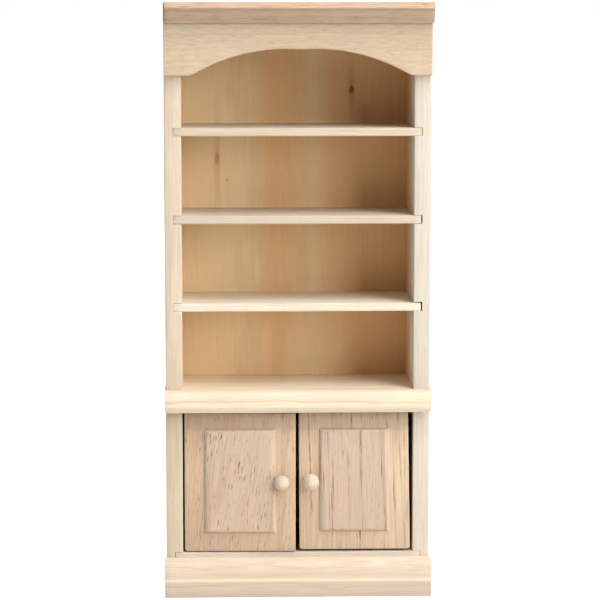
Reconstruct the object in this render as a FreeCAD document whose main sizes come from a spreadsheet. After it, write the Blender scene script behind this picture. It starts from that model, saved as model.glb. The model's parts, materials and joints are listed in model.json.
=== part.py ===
import FreeCAD, Part
import math
import os
import re

import Sketcher

# Miniature bookcase for a 1:12 dolls house, in bare wood. An open case of shelves stands on a thick
# counter, over a cupboard with two inset doors that swing out on hidden pins.
#
# Millimetres, +Z up. The front faces -Y and +X is to the right seen from the front. The origin is on
# the surface that the bookcase stands on, at the middle of its width and depth.

# Driving dimensions: alias, size, and what it measures. Each is written once, in the sheet "sizes".
SIZES = (
    # the two cases
    ("case_width", 79.0, "over the sides"),
    ("case_depth", 33.4, "sides, front to back"),
    ("side_thickness", 5.0, "all four sides"),
    ("side_arris", 0.35, "rounding of the sides' front edges"),
    ("floor_top", 13.0, "top of the cupboard's floor above the ground"),
    ("floor_thickness", 2.8, "cupboard floor board"),
    ("cupboard_height", 42.9, "floor board to the underside of the counter"),
    ("case_height", 111.9, "upper sides"),
    ("top_thickness", 3.0, "top board"),
    # joints between boards
    ("dado_depth", 2.4, "grooves for shelves and the floor board"),
    ("dado_play", 0.06, "gap over the floor board in its grooves"),
    ("dado_end_play", 0.15, "gap at each end of a board that is centred in its grooves"),
    ("panel_thickness", 2.0, "back panels"),
    ("rabbet_width", 2.5, "ledge behind each side for the back panels"),
    ("panel_play", 0.1, "gap at each edge of a back panel"),
    # shelves
    ("shelf_thickness", 2.4, "shelf boards"),
    ("shelf_pitch", 25.93, "from one shelf's top to the next"),
    ("shelf_arris", 0.4, "rounding of the shelves' front edges"),
    ("shelf_lower_lift", 0.0, "lower shelf and its grooves above their even pitch"),
    ("shelf_middle_lift", 0.2, "middle shelf and its grooves above their even pitch"),
    ("shelf_top_lift", 0.25, "top shelf and its grooves above their even pitch"),
    ("shelf_lower_play", 0.18, "gap over the lower shelf in its grooves"),
    ("shelf_middle_play", 0.08, "gap over the middle shelf in its grooves"),
    ("shelf_top_play", 0.06, "gap over the top shelf in its grooves"),
    ("shelf_lower_shift", -0.13, "lower shelf to the right of the case's middle"),
    ("shelf_middle_shift", -0.1, "middle shelf to the right of the case's middle"),
    ("shelf_top_shift", -0.05, "top shelf to the right of the case's middle"),
    # counter
    ("counter_thickness", 6.4, "counter board"),
    ("counter_overhang", 0.3, "past each side"),
    ("counter_nose", 3.6, "in front of the sides"),
    ("nose_top_radius", 1.7, "upper rounding of the counter's front"),
    ("nose_bottom_radius", 2.6, "lower rounding of the counter's front"),
    # valance
    ("valance_thickness", 3.0, "arched board"),
    ("valance_height", 21.4, "from its feet to the top of the case"),
    ("valance_foot", 7.1, "width of each foot, with the arch centred"),
    ("arch_rise", 7.8, "above the feet"),
    ("arch_flat", 8.0, "straight middle of the arch"),
    ("arch_shift", 0.9, "arch to the right of the case's middle"),
    ("foot_radius", 2.5, "easing where the arch meets a foot"),
    # crown
    ("crown_overhang", 0.05, "past each side, with the crown centred"),
    ("crown_shift", 0.45, "to the right of the case's middle"),
    ("crown_height", 6.0, "from the cove's foot to the top"),
    ("crown_projection", 3.2, "in front of the valance"),
    ("crown_lip", 1.85, "height of the upper lip"),
    ("crown_step", 0.4, "lip in front of the cove"),
    ("crown_foot", 0.5, "thickness at the cove's foot"),
    ("cove_radius", 4.6, "hollow of the cove"),
    # base
    ("base_overhang", 0.5, "past each side"),
    ("base_height", 11.5, "moulding above the ground"),
    ("base_projection", 4.3, "plinth in front of the sides"),
    ("plinth_height", 5.3, "lower band"),
    ("plinth_step", 0.8, "lower band in front of the upper one"),
    ("plinth_arris", 0.5, "rounding of the lower band's upper edge"),
    ("base_round", 2.8, "quarter round at the moulding's top"),
    # doors
    ("door_thickness", 3.6, "slab"),
    ("door_middle_gap", 1.15, "between the slabs at the bottom"),
    ("door_left_gap", 0.6, "between the left slab and its side"),
    ("door_left_drop", 0.35, "between the left slab and the floor board"),
    ("door_left_head", 0.55, "between the left slab and the counter"),
    ("door_left_ajar", 1.4, "degrees open at rest"),
    ("door_left_lean", 0.0, "free edge narrower at the top"),
    ("door_left_taper", 0.0, "hinge edge narrower at the top"),
    ("door_right_gap", 0.75, "between the right slab and its side, at the bottom"),
    ("door_right_drop", 0.7, "between the right slab and the floor board"),
    ("door_right_head", 0.5, "between the right slab and the counter"),
    ("door_right_ajar", 0.0, "degrees open at rest"),
    ("door_right_lean", -0.25, "free edge wider at the top"),
    ("door_right_taper", 0.75, "hinge edge narrower at the top"),
    ("door_corner", 0.7, "rounding of the slab's lower corners"),
    ("door_hinge_round", 1.2, "rounding that clears the side as the door turns"),
    # raised panels on the doors
    ("field_free_margin", 5.85, "slab beside the applied panel, at its free edge"),
    ("field_left_margin", 5.85, "slab beside the left panel, at its hinge edge"),
    ("field_right_margin", 6.35, "slab beside the right panel, at its hinge edge"),
    ("field_end_margin", 5.2, "slab above and below the applied panel, were it in the middle"),
    ("field_rise", 0.37, "applied panel's middle above the slab's"),
    ("field_thickness", 1.2, "applied panel"),
    ("field_bevel", 0.9, "sloping edge of the applied panel"),
    # pins and knobs
    ("pin_radius", 0.5, "hinge pins"),
    ("pin_inset", 1.6, "pin's axis from the slab's hinge edge"),
    ("pin_engagement", 2.6, "pin inside the door"),
    ("pin_in_counter", 3.0, "upper pin inside the counter"),
    ("pin_clearance", 0.05, "between pin and door, radial"),
    ("pin_end_play", 0.3, "hole in the door deeper than the pin"),
    ("knob_left_inset", 4.2, "left knob's axis from the slab's free edge"),
    ("knob_right_inset", 3.3, "right knob's axis from the slab's free edge"),
    ("knob_rise", 0.2, "knob's axis above the slab's middle"),
    ("knob_left_radius", 2.25, "ball of the left knob"),
    ("knob_right_radius", 2.45, "ball of the right knob"),
    ("knob_neck", 1.1, "radius of the neck"),
    ("knob_neck_length", 0.4, "ball's back from the slab's face"),
    ("tenon_radius", 0.8, "peg behind the knob"),
    ("tenon_length", 2.4, "peg inside the door"),
    ("glue_gap", 0.03, "round a glued peg and past its end"),
    # brads through the back panels
    ("brad_radius", 0.4, "shank"),
    ("brad_length", 5.0, "head and shank"),
    ("brad_head_radius", 0.7, "head"),
    ("brad_head_height", 0.3, "head"),
    ("brad_sink", 0.05, "head below the back panel's face"),
)
ALIASES = {alias for alias, number, note in SIZES}
SHEET = "sizes"

# Places worked out from the driving dimensions, as formulas over the sheet's aliases.
FRONT = "(-(case_depth - valance_thickness - crown_projection) / 2)"
COUNTER_BOTTOM = "(floor_top + cupboard_height)"
COUNTER_TOP = f"({COUNTER_BOTTOM} + counter_thickness)"
CASE_TOP = f"({COUNTER_TOP} + case_height)"
TOTAL_HEIGHT = f"({CASE_TOP} + top_thickness)"
INNER_WIDTH = "(case_width - 2 * side_thickness)"
ARCH_SPAN = "(case_width - 2 * valance_foot)"
CROWN_LENGTH = "(case_width + 2 * crown_overhang)"
BASE_LENGTH = "(case_width + 2 * base_overhang)"
DOOR_WIDTH = f"(({INNER_WIDTH} - door_left_gap - door_middle_gap - door_right_gap) / 2)"
GROOVED_LENGTH = f"({INNER_WIDTH} + 2 * dado_depth - 2 * dado_end_play)"
BOARD_DEPTH = "(case_depth - panel_thickness - panel_play)"
PANEL_WIDTH = f"({INNER_WIDTH} + 2 * rabbet_width - 2 * panel_play)"
BRAD_OUT = f"({INNER_WIDTH} / 2 + rabbet_width / 2)"
BRAD_IN_SIDE = "(brad_length + brad_sink - panel_thickness)"
LOWER_BRADS = ("floor_top + cupboard_height / 4", "floor_top + cupboard_height * 3 / 4")
UPPER_BRADS = tuple(f"{COUNTER_TOP} + shelf_pitch * {bay + 0.5}" for bay in range(4))
SHELVES = ("lower", "middle", "top")
SIDES = {"left": -1, "right": 1}


# ---------------------------------------------------------------- sheet and formulas
def make_sheet(doc):
    """Writes the driving dimensions into the document's sheet."""
    sheet = doc.addObject("Spreadsheet::Sheet", SHEET)
    for row, (alias, number, note) in enumerate(SIZES, start=1):
        sheet.set(f"A{row}", alias)
        sheet.set(f"B{row}", str(number))
        sheet.set(f"C{row}", note)
        sheet.setAlias(f"B{row}", alias)
    doc.recompute()
    return sheet


def formula(text):
    """Turns the aliases in a formula into references to the sheet."""
    return re.sub(r"[a-z_]+", lambda word: _reference(word.group()), text)


def _reference(word):
    return f"{SHEET}.{word}" if word in ALIASES else word


def bind(thing, place, text):
    """Binds one property of an object to a formula over the sheet."""
    thing.setExpression(place, formula(text))


def move_to(thing, x="0", y="0", z="0"):
    """Binds an object's position."""
    bind(thing, "Placement.Base.x", x)
    bind(thing, "Placement.Base.y", y)
    bind(thing, "Placement.Base.z", z)


# ---------------------------------------------------------------- sketches
def new_body(doc, label):
    body = doc.addObject("PartDesign::Body", label)
    body.Label = label
    return body


def new_sketch(body, role, x="0", y="0", z="0"):
    """A sketch on one of the body's own origin planes, offset by x and y in the plane and z out of it."""
    sketch = body.newObject("Sketcher::SketchObject", f"{body.Name}_sketch")
    planes = [feature for feature in body.Origin.OriginFeatures if feature.Role == role]
    sketch.AttachmentSupport = [(planes[0], "")]
    sketch.MapMode = "FlatFace"
    bind(sketch, "AttachmentOffset.Base.x", x)
    bind(sketch, "AttachmentOffset.Base.y", y)
    bind(sketch, "AttachmentOffset.Base.z", z)
    return sketch


def value_of(sketch, text):
    """The present value of a formula over the sheet."""
    return float(sketch.evalExpression(formula(text)))


def hold(sketch, kind, geometry, point, text):
    """Binds one point's distance from the sketch's origin."""
    start = value_of(sketch, text)
    index = sketch.addConstraint(Sketcher.Constraint(kind, -1, 1, geometry, point, start))
    bind(sketch, f"Constraints[{index}]", text)


def hold_radius(sketch, round_one, text):
    """Binds the radius of a circle or an arc."""
    index = sketch.addConstraint(Sketcher.Constraint("Radius", round_one, value_of(sketch, text)))
    bind(sketch, f"Constraints[{index}]", text)


def add_lines(sketch, corners):
    """Straight lines from corner to corner, each a pair of formulas. Returns the lines and the points."""
    points = [FreeCAD.Vector(value_of(sketch, x), value_of(sketch, y), 0) for x, y in corners]
    lines = [sketch.addGeometry(Part.LineSegment(*ends)) for ends in zip(points, points[1:])]
    for k, (x, y) in enumerate(corners):
        line, end = (lines[k], 1) if k < len(lines) else (lines[-1], 2)
        hold(sketch, "DistanceX", line, end, x)
        hold(sketch, "DistanceY", line, end, y)
    return lines, points


def join_in_order(sketch, edges, closed=True):
    """Joins each edge's end to the next one's start."""
    for first, second in zip(edges, edges[1:] + edges[:1] if closed else edges[1:]):
        sketch.addConstraint(Sketcher.Constraint("Coincident", first, 2, second, 1))


def add_outline(sketch, corners):
    """A closed outline of straight lines through corners, each a pair of formulas."""
    lines, points = add_lines(sketch, corners)
    lines.append(sketch.addGeometry(Part.LineSegment(points[-1], points[0])))
    join_in_order(sketch, lines)


def add_rectangle(sketch, x, y, width, height):
    """A rectangle with its lower left corner at x, y."""
    right = f"({x}) + ({width})"
    top = f"({y}) + ({height})"
    add_outline(sketch, ((x, y), (right, y), (right, top), (x, top)))


def add_circle(sketch, x, y, radius):
    centre = FreeCAD.Vector(value_of(sketch, x), value_of(sketch, y), 0)
    start = Part.Circle(centre, FreeCAD.Vector(0, 0, 1), value_of(sketch, radius))
    circle = sketch.addGeometry(start)
    hold(sketch, "DistanceX", circle, 3, x)
    hold(sketch, "DistanceY", circle, 3, y)
    hold_radius(sketch, circle, radius)


# ---------------------------------------------------------------- features
def pad(body, sketch, length, backwards=False, middle=False):
    """Extrudes a sketch. From the XZ plane a pad runs towards -Y, and backwards turns it to +Y."""
    feature = body.newObject("PartDesign::Pad", f"{body.Name}_pad")
    feature.Profile = sketch
    bind(feature, "Length", length)
    feature.Reversed = backwards
    feature.Midplane = middle
    return feature


def pocket(body, sketch, depth=None, backwards=False):
    """Cuts a sketch out against its plane's normal, to a depth or, with none, right through."""
    feature = body.newObject("PartDesign::Pocket", f"{body.Name}_pocket")
    feature.Profile = sketch
    feature.Reversed = backwards
    if depth is None:
        feature.Type = "ThroughAll"
        feature.Midplane = True
    else:
        bind(feature, "Length", depth)
    return feature


def check_cut(doc, body, before):
    """Stops if the body's last pocket removed nothing. Returns the new volume."""
    doc.recompute()
    if body.Shape.Volume > before - 0.01:
        raise RuntimeError(f"a pocket in {body.Label} cuts nothing")
    return body.Shape.Volume


def round_edges(doc, body, radius, wanted):
    """Rounds every edge of the body's last feature that wanted accepts."""
    doc.recompute()
    base = body.Tip
    box = base.Shape.BoundBox
    names = [f"Edge{number}" for number, edge in enumerate(base.Shape.Edges, start=1) if wanted(edge, box)]
    if not names:
        raise RuntimeError(f"{body.Label} has no edge to round")
    feature = body.newObject("PartDesign::Fillet", f"{body.Name}_round")
    feature.Base = (base, names)
    bind(feature, "Radius", radius)
    return feature


def lies_at(edge, **limits):
    """True if both ends of an edge lie at the given x, y or z."""
    ends = [vertex.Point for vertex in edge.Vertexes]
    return all(abs(getattr(end, axis) - place) < 1e-4 for end in ends for axis, place in limits.items())


def board(doc, label, length, depth, thickness, x, y, z):
    """A flat board of length along X, depth along Y and thickness along Z, with its low corner at x, y, z."""
    body = new_body(doc, label)
    sketch = new_sketch(body, "XY_Plane")
    add_rectangle(sketch, "0", "0", length, depth)
    pad(body, sketch, thickness)
    move_to(body, x, y, z)
    return body


# ---------------------------------------------------------------- the cases
def make_side(doc, label, side, bottom, height, grooves, brads):
    """One side board, with a groove for each board let into it, a ledge for the back panel and brad holes.

    Its own frame has X from the left face, Y from the front edge and Z from the lower end. Each groove is a
    pair of formulas: its floor above the side's lower end, and its height.
    """
    inner_high = SIDES[side] < 0
    left = "-case_width / 2" if inner_high else f"{INNER_WIDTH} / 2"
    body = board(doc, label, "side_thickness", "case_depth", height, left, FRONT, bottom)
    doc.recompute()
    volume = body.Shape.Volume
    for floor, opening in grooves:
        sketch = new_sketch(body, "XZ_Plane")
        start = "side_thickness - dado_depth" if inner_high else "0"
        add_rectangle(sketch, start, floor, "dado_depth", opening)
        pocket(body, sketch)
        volume = check_cut(doc, body, volume)
    sketch = new_sketch(body, "XY_Plane")
    start = "side_thickness - rabbet_width" if inner_high else "0"
    add_rectangle(sketch, start, "case_depth - panel_thickness", "rabbet_width", "panel_thickness")
    pocket(body, sketch)
    volume = check_cut(doc, body, volume)
    sketch = new_sketch(body, "XZ_Plane", z="-(case_depth - panel_thickness)")
    for brad in brads:
        across = "side_thickness - rabbet_width / 2" if inner_high else "rabbet_width / 2"
        add_circle(sketch, across, f"({brad}) - ({bottom})", "brad_radius")
    pocket(body, sketch, BRAD_IN_SIDE, backwards=True)
    check_cut(doc, body, volume)
    round_edges(doc, body, "side_arris", _is_front_arris)
    return body


def _is_front_arris(edge, box):
    """True for the upright front edges, in whole or between two grooves."""
    return lies_at(edge, y=box.YMin, x=box.XMin) or lies_at(edge, y=box.YMin, x=box.XMax)


def make_lower_sides(doc):
    groove = ("floor_top - floor_thickness", "floor_thickness + dado_play")
    for side in SIDES:
        make_side(doc, f"lower_side_{side}", side, "0", COUNTER_BOTTOM, (groove,), LOWER_BRADS)


def shelf_underside(number, name):
    """The height of a shelf's underside, and of its grooves' floors, above the counter."""
    return f"shelf_pitch * {number} - shelf_thickness + shelf_{name}_lift"


def make_upper_sides(doc):
    grooves = [
        (shelf_underside(number, name), f"shelf_thickness + shelf_{name}_play")
        for number, name in enumerate(SHELVES, start=1)
    ]
    for side in SIDES:
        make_side(doc, f"upper_side_{side}", side, COUNTER_TOP, "case_height", grooves, UPPER_BRADS)


def make_bottom_board(doc):
    return board(
        doc, "bottom_board", GROOVED_LENGTH, BOARD_DEPTH, "floor_thickness",
        f"-{GROOVED_LENGTH} / 2", FRONT, "floor_top - floor_thickness",
    )


def make_shelves(doc):
    """Three shelves, each a little to one side and a little off its even pitch."""
    for number, name in enumerate(SHELVES, start=1):
        height = f"{COUNTER_TOP} + {shelf_underside(number, name)}"
        body = board(
            doc, f"shelf_{name}", GROOVED_LENGTH, BOARD_DEPTH, "shelf_thickness",
            f"shelf_{name}_shift - {GROOVED_LENGTH} / 2", FRONT, height,
        )
        round_edges(doc, body, "shelf_arris", lambda edge, box: lies_at(edge, y=box.YMin) and edge.Length > 5)


def make_top_board(doc):
    return board(
        doc, "top_board", "case_width", "case_depth", "top_thickness",
        "-case_width / 2", FRONT, CASE_TOP,
    )


def make_counter(doc):
    """The bullnosed board between the two cases, with a blind hole above each door's pin."""
    length = "(case_width + 2 * counter_overhang)"
    depth = "(case_depth + counter_nose)"
    body = board(
        doc, "counter_top", length, depth, "counter_thickness",
        f"-{length} / 2", f"{FRONT} - counter_nose", COUNTER_BOTTOM,
    )
    doc.recompute()
    volume = body.Shape.Volume
    sketch = new_sketch(body, "XY_Plane")
    for side in SIDES:
        across = f"{length} / 2 + {hinge_x(side)}"
        add_circle(sketch, across, "counter_nose + door_thickness / 2", "pin_radius")
    pocket(body, sketch, "pin_in_counter", backwards=True)
    check_cut(doc, body, volume)
    round_edges(doc, body, "nose_top_radius", lambda edge, box: lies_at(edge, y=box.YMin, z=box.ZMax))
    round_edges(doc, body, "nose_bottom_radius", lambda edge, box: lies_at(edge, y=box.YMin, z=box.ZMin))
    return body


def drill_floor(doc, body):
    """Bores the floor board right through for the lower pins."""
    doc.recompute()
    volume = body.Shape.Volume
    sketch = new_sketch(body, "XY_Plane")
    for side in SIDES:
        add_circle(sketch, f"{GROOVED_LENGTH} / 2 + {hinge_x(side)}", "door_thickness / 2", "pin_radius")
    pocket(body, sketch)
    check_cut(doc, body, volume)


def make_back_panel(doc, label, bottom, height, brads):
    """A thin panel in the ledges behind the sides, counterbored from behind for its brads."""
    body = board(
        doc, label, PANEL_WIDTH, "panel_thickness", height,
        f"-{PANEL_WIDTH} / 2", f"{FRONT} + case_depth - panel_thickness", bottom,
    )
    doc.recompute()
    volume = body.Shape.Volume
    for radius, depth in (("brad_radius", None), ("brad_head_radius", "brad_head_height + brad_sink")):
        sketch = new_sketch(body, "XZ_Plane", z="-panel_thickness")
        for hand in SIDES.values():
            across = f"{PANEL_WIDTH} / 2 + {hand} * {BRAD_OUT}"
            for brad in brads:
                add_circle(sketch, across, f"({brad}) - ({bottom})", radius)
        pocket(body, sketch, depth, backwards=depth is not None)
        volume = check_cut(doc, body, volume)
    return body


def make_back_panels(doc):
    make_back_panel(doc, "back_panel_lower", "0", COUNTER_BOTTOM, LOWER_BRADS)
    make_back_panel(doc, "back_panel_upper", COUNTER_TOP, "case_height", UPPER_BRADS)


def make_brads(doc):
    """The small nails of both back panels, as one group of separate solids."""
    nails = []
    face = f"{FRONT} + case_depth - brad_sink"
    for side, hand in SIDES.items():
        for number, brad in enumerate(LOWER_BRADS + UPPER_BRADS):
            rods = []
            for part, radius, length in (
                ("head", "brad_head_radius", "brad_head_height"),
                ("shank", "brad_radius", "brad_length"),
            ):
                rod = doc.addObject("Part::Cylinder", f"brad_{part}_{side}_{number}")
                rod.Placement.Rotation = FreeCAD.Rotation(FreeCAD.Vector(1, 0, 0), 90)
                bind(rod, "Radius", radius)
                bind(rod, "Height", length)
                move_to(rod, f"{hand} * {BRAD_OUT}", face, brad)
                rods.append(rod)
            nail = doc.addObject("Part::Fuse", f"brad_{side}_{number}")
            nail.Base, nail.Tool = rods
            nails.append(nail)
    group = doc.addObject("Part::Compound", "back_brads")
    group.Label = "back_brads"
    group.Links = nails
    return group


# ---------------------------------------------------------------- front mouldings
def make_valance(doc):
    """The arched board: a straight middle with a tangent arc down to each foot."""
    body = new_body(doc, "valance")
    sketch = new_sketch(body, "XZ_Plane")
    lines, points = add_lines(sketch, (
        (f"-{ARCH_SPAN} / 2 + arch_shift", "0"),
        ("-case_width / 2", "0"),
        ("-case_width / 2", "valance_height"),
        ("case_width / 2", "valance_height"),
        ("case_width / 2", "0"),
        (f"{ARCH_SPAN} / 2 + arch_shift", "0"),
    ))
    crest, ends = add_lines(sketch, (
        ("arch_flat / 2 + arch_shift", "arch_rise"),
        ("-arch_flat / 2 + arch_shift", "arch_rise"),
    ))
    right = sketch.addGeometry(tangent_arc(ends[0], points[-1]))
    left = sketch.addGeometry(tangent_arc(ends[1], points[0]))
    hold(sketch, "DistanceX", right, 3, "arch_flat / 2 + arch_shift")
    hold(sketch, "DistanceX", left, 3, "-arch_flat / 2 + arch_shift")
    join_in_order(sketch, lines + [right] + crest + [left])
    pad(body, sketch, "valance_thickness")
    round_edges(doc, body, "foot_radius", _is_foot)
    move_to(body, "0", FRONT, f"{TOTAL_HEIGHT} - valance_height")
    return body


def tangent_arc(crest, foot):
    """The arc that leaves a level line at the crest and comes down to the foot."""
    reach = abs(foot.x - crest.x)
    rise = crest.y - foot.y
    radius = (reach**2 + rise**2) / (2 * rise)
    swing = math.asin(reach / radius)
    circle = Part.Circle(FreeCAD.Vector(crest.x, crest.y - radius, 0), FreeCAD.Vector(0, 0, 1), radius)
    upright = math.pi / 2
    start, finish = (upright - swing, upright) if foot.x > crest.x else (upright, upright + swing)
    return Part.ArcOfCircle(circle, start, finish)


def _is_foot(edge, box):
    """True for the two edges through the thickness where the arch meets the feet."""
    across = abs(edge.Vertexes[0].Point.y - edge.Vertexes[-1].Point.y) > 0.1
    inside = all(abs(vertex.Point.x) < box.XMax - 1 for vertex in edge.Vertexes)
    return across and inside and lies_at(edge, z=0)


def make_crown(doc):
    """A strip with an upper lip over a hollow cove. In its sketch, X is towards the back and Y is up."""
    body = new_body(doc, "crown_moulding")
    sketch = new_sketch(body, "YZ_Plane")
    lip = "crown_height - crown_lip"
    lines, points = add_lines(sketch, (
        ("crown_step - crown_projection", lip),
        ("-crown_projection", lip),
        ("-crown_projection", "crown_height"),
        ("0", "crown_height"),
        ("0", "0"),
        ("-crown_foot", "0"),
    ))
    join_in_order(sketch, lines, closed=False)
    cove = sketch.addGeometry(hollow_arc(points[0], points[-1], value_of(sketch, "cove_radius")))
    sketch.addConstraint(Sketcher.Constraint("Coincident", cove, 2, lines[0], 1))
    sketch.addConstraint(Sketcher.Constraint("Coincident", cove, 1, lines[-1], 2))
    hold_radius(sketch, cove, "cove_radius")
    pad(body, sketch, CROWN_LENGTH)
    left = f"crown_shift - {CROWN_LENGTH} / 2"
    move_to(body, left, f"{FRONT} - valance_thickness", f"{TOTAL_HEIGHT} - crown_height")
    return body


def hollow_arc(upper, lower, radius):
    """The arc between two points that sinks into the wood behind them, centred in front and below."""
    chord = upper - lower
    middle = (upper + lower) * 0.5
    out = FreeCAD.Vector(-chord.y, chord.x, 0).normalize()
    if out.x > 0:
        out = out * -1
    centre = middle + out * math.sqrt(radius**2 - (chord.Length / 2) ** 2)
    circle = Part.Circle(centre, FreeCAD.Vector(0, 0, 1), radius)
    start = math.atan2(lower.y - centre.y, lower.x - centre.x)
    finish = math.atan2(upper.y - centre.y, upper.x - centre.x)
    return Part.ArcOfCircle(circle, start, finish)


def make_base_moulding(doc):
    """A quarter round over a plinth, across the front."""
    body = new_body(doc, "base_moulding")
    sketch = new_sketch(body, "YZ_Plane")
    band = "plinth_step - base_projection"
    add_outline(sketch, (
        ("0", "0"),
        ("0", "base_height"),
        (band, "base_height"),
        (band, "plinth_height"),
        ("-base_projection", "plinth_height"),
        ("-base_projection", "0"),
    ))
    pad(body, sketch, BASE_LENGTH)
    round_edges(doc, body, "base_round", lambda edge, box: _is_outer(edge, box, box.ZMax))
    plinth = value_of(sketch, "plinth_height")
    round_edges(doc, body, "plinth_arris", lambda edge, box: lies_at(edge, y=box.YMin, z=plinth))
    move_to(body, f"-{BASE_LENGTH} / 2", FRONT, "0")
    return body


def _is_outer(edge, box, height):
    """True for the long edge at a height, away from the back."""
    long_one = edge.Length > 1.1 * (box.YMax - box.YMin)
    return long_one and lies_at(edge, z=height) and not lies_at(edge, y=box.YMax)


# ---------------------------------------------------------------- doors
# The pieces of a door share one frame: the origin is on the pins' axis at the slab's bottom, in the
# middle of its thickness, and the free edge lies towards +X on the left door and -X on the right one.
def hinge_x(side):
    """The pins' axis from the case's middle."""
    return f"{SIDES[side]} * ({INNER_WIDTH} / 2 - door_{side}_gap - pin_inset)"


def door_height(side):
    """The slab's height: the cupboard's, less the gaps below and above."""
    return f"(cupboard_height - door_{side}_drop - door_{side}_head)"


def hang(body, side):
    """Places one of a door's pieces on its pins, opened by the angle at which the door stands."""
    turn = SIDES[side]
    body.Placement = FreeCAD.Placement(FreeCAD.Vector(), FreeCAD.Rotation(FreeCAD.Vector(0, 0, 1), turn))
    bind(body, "Placement.Rotation.Angle", f"{turn} * door_{side}_ajar * 1 deg")
    move_to(body, hinge_x(side), f"{FRONT} + door_thickness / 2", f"floor_top + door_{side}_drop")


def make_door(doc, side):
    """A slab with a hole for each pin and a blind hole for its knob."""
    body = new_body(doc, f"door_{side}")
    inward = -SIDES[side]
    hinge = f"{-inward} * pin_inset"
    free = f"{inward} * ({DOOR_WIDTH} - pin_inset)"
    height = door_height(side)
    sketch = new_sketch(body, "XZ_Plane")
    add_outline(sketch, (
        (hinge, "0"),
        (free, "0"),
        (f"{free} - ({inward}) * door_{side}_lean", height),
        (f"{hinge} + ({inward}) * door_{side}_taper", height),
    ))
    pad(body, sketch, "door_thickness", middle=True)
    doc.recompute()
    volume = body.Shape.Volume
    for level, backwards in (("0", True), (height, False)):
        sketch = new_sketch(body, "XY_Plane", z=level)
        add_circle(sketch, "0", "0", "pin_radius + pin_clearance")
        pocket(body, sketch, "pin_engagement + pin_end_play", backwards)
        volume = check_cut(doc, body, volume)
    sketch = new_sketch(body, "XZ_Plane", z="door_thickness / 2")
    add_circle(sketch, knob_x(side), knob_z(side), "tenon_radius + glue_gap")
    pocket(body, sketch, "tenon_length + glue_gap")
    check_cut(doc, body, volume)
    round_edges(doc, body, "door_hinge_round", lambda edge, box: _is_hinge_arris(edge, box, inward))
    round_edges(doc, body, "door_corner", lambda edge, box: _is_lower_corner(edge, inward))
    hang(body, side)
    return body


def knob_x(side):
    """The knob's axis from the pins' axis."""
    return f"{-SIDES[side]} * ({DOOR_WIDTH} - pin_inset - knob_{side}_inset)"


def knob_z(side):
    """The knob's axis above the slab's bottom."""
    return f"{door_height(side)} / 2 + knob_rise"


def _is_hinge_arris(edge, box, inward):
    """True for the upright front edge beside the side board."""
    hinge_side = all(vertex.Point.x * inward < 0 for vertex in edge.Vertexes)
    return hinge_side and edge.Length > 0.5 * (box.ZMax - box.ZMin) and lies_at(edge, y=box.YMin)


def _is_lower_corner(edge, inward):
    """True for the lower edge through the thickness at the free side."""
    free_side = all(vertex.Point.x * inward > 0 for vertex in edge.Vertexes)
    across = abs(edge.Vertexes[0].Point.y - edge.Vertexes[-1].Point.y) > 1
    return free_side and across and lies_at(edge, z=0)


def make_door_panel(doc, side):
    """The raised field: a thin board with sloping edges, glued to the middle of the slab."""
    body = new_body(doc, f"door_panel_{side}")
    sketch = new_sketch(body, "XZ_Plane", z="door_thickness / 2")
    width = f"({DOOR_WIDTH} - field_{side}_margin - field_free_margin)"
    height = f"({door_height(side)} - 2 * field_end_margin)"
    centre = f"{-SIDES[side]} * (({DOOR_WIDTH} + field_{side}_margin - field_free_margin) / 2 - pin_inset)"
    add_rectangle(sketch, f"{centre} - {width} / 2", "field_end_margin + field_rise", width, height)
    pad(body, sketch, "field_thickness")
    doc.recompute()
    base = body.Tip
    front = base.Shape.BoundBox.YMin
    names = [f"Edge{k}" for k, edge in enumerate(base.Shape.Edges, start=1) if lies_at(edge, y=front)]
    bevel = body.newObject("PartDesign::Chamfer", f"{body.Name}_bevel")
    bevel.Base = (base, names)
    bind(bevel, "Size", "field_bevel")
    hang(body, side)
    return body


def make_knob(doc, side):
    """A ball on a short neck, turned with the peg that goes into the door."""
    body = new_body(doc, f"knob_{side}")
    sketch = new_sketch(body, "XY_Plane", x=knob_x(side), y="-door_thickness / 2", z=knob_z(side))
    ball = f"knob_{side}_radius"
    middle = f"-(knob_neck_length + sqrt({ball}^2 - knob_neck^2))"
    lines, points = add_lines(sketch, (
        ("0", f"{middle} - {ball}"),
        ("0", "tenon_length"),
        ("tenon_radius", "tenon_length"),
        ("tenon_radius", "0"),
        ("knob_neck", "0"),
        ("knob_neck", "-knob_neck_length"),
    ))
    join_in_order(sketch, lines, closed=False)
    centre = FreeCAD.Vector(0, value_of(sketch, middle), 0)
    circle = Part.Circle(centre, FreeCAD.Vector(0, 0, 1), value_of(sketch, ball))
    rise = math.atan2(points[-1].y - centre.y, points[-1].x)
    arc = sketch.addGeometry(Part.ArcOfCircle(circle, -math.pi / 2, rise))
    sketch.addConstraint(Sketcher.Constraint("Coincident", arc, 2, lines[-1], 2))
    sketch.addConstraint(Sketcher.Constraint("Coincident", arc, 1, lines[0], 1))
    hold(sketch, "DistanceX", arc, 3, "0")
    turned = body.newObject("PartDesign::Revolution", f"{body.Name}_turned")
    turned.Profile = sketch
    turned.ReferenceAxis = (sketch, ["V_Axis"])
    turned.Angle = 360
    hang(body, side)
    return body


def make_pins(doc):
    """A headless pin above and below each door, tight in the counter and the floor board."""
    for side in SIDES:
        door_bottom = f"floor_top + door_{side}_drop"
        door_top = f"{door_bottom} + {door_height(side)}"
        spans = {
            "bottom": ("floor_top - floor_thickness", f"{door_bottom} + pin_engagement"),
            "top": (f"{door_top} - pin_engagement", f"{COUNTER_BOTTOM} + pin_in_counter"),
        }
        for end, (low, high) in spans.items():
            pin = doc.addObject("Part::Cylinder", f"hinge_pin_{side}_{end}")
            pin.Label = pin.Name
            bind(pin, "Radius", "pin_radius")
            bind(pin, "Height", f"({high}) - ({low})")
            move_to(pin, hinge_x(side), f"{FRONT} + door_thickness / 2", low)


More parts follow.
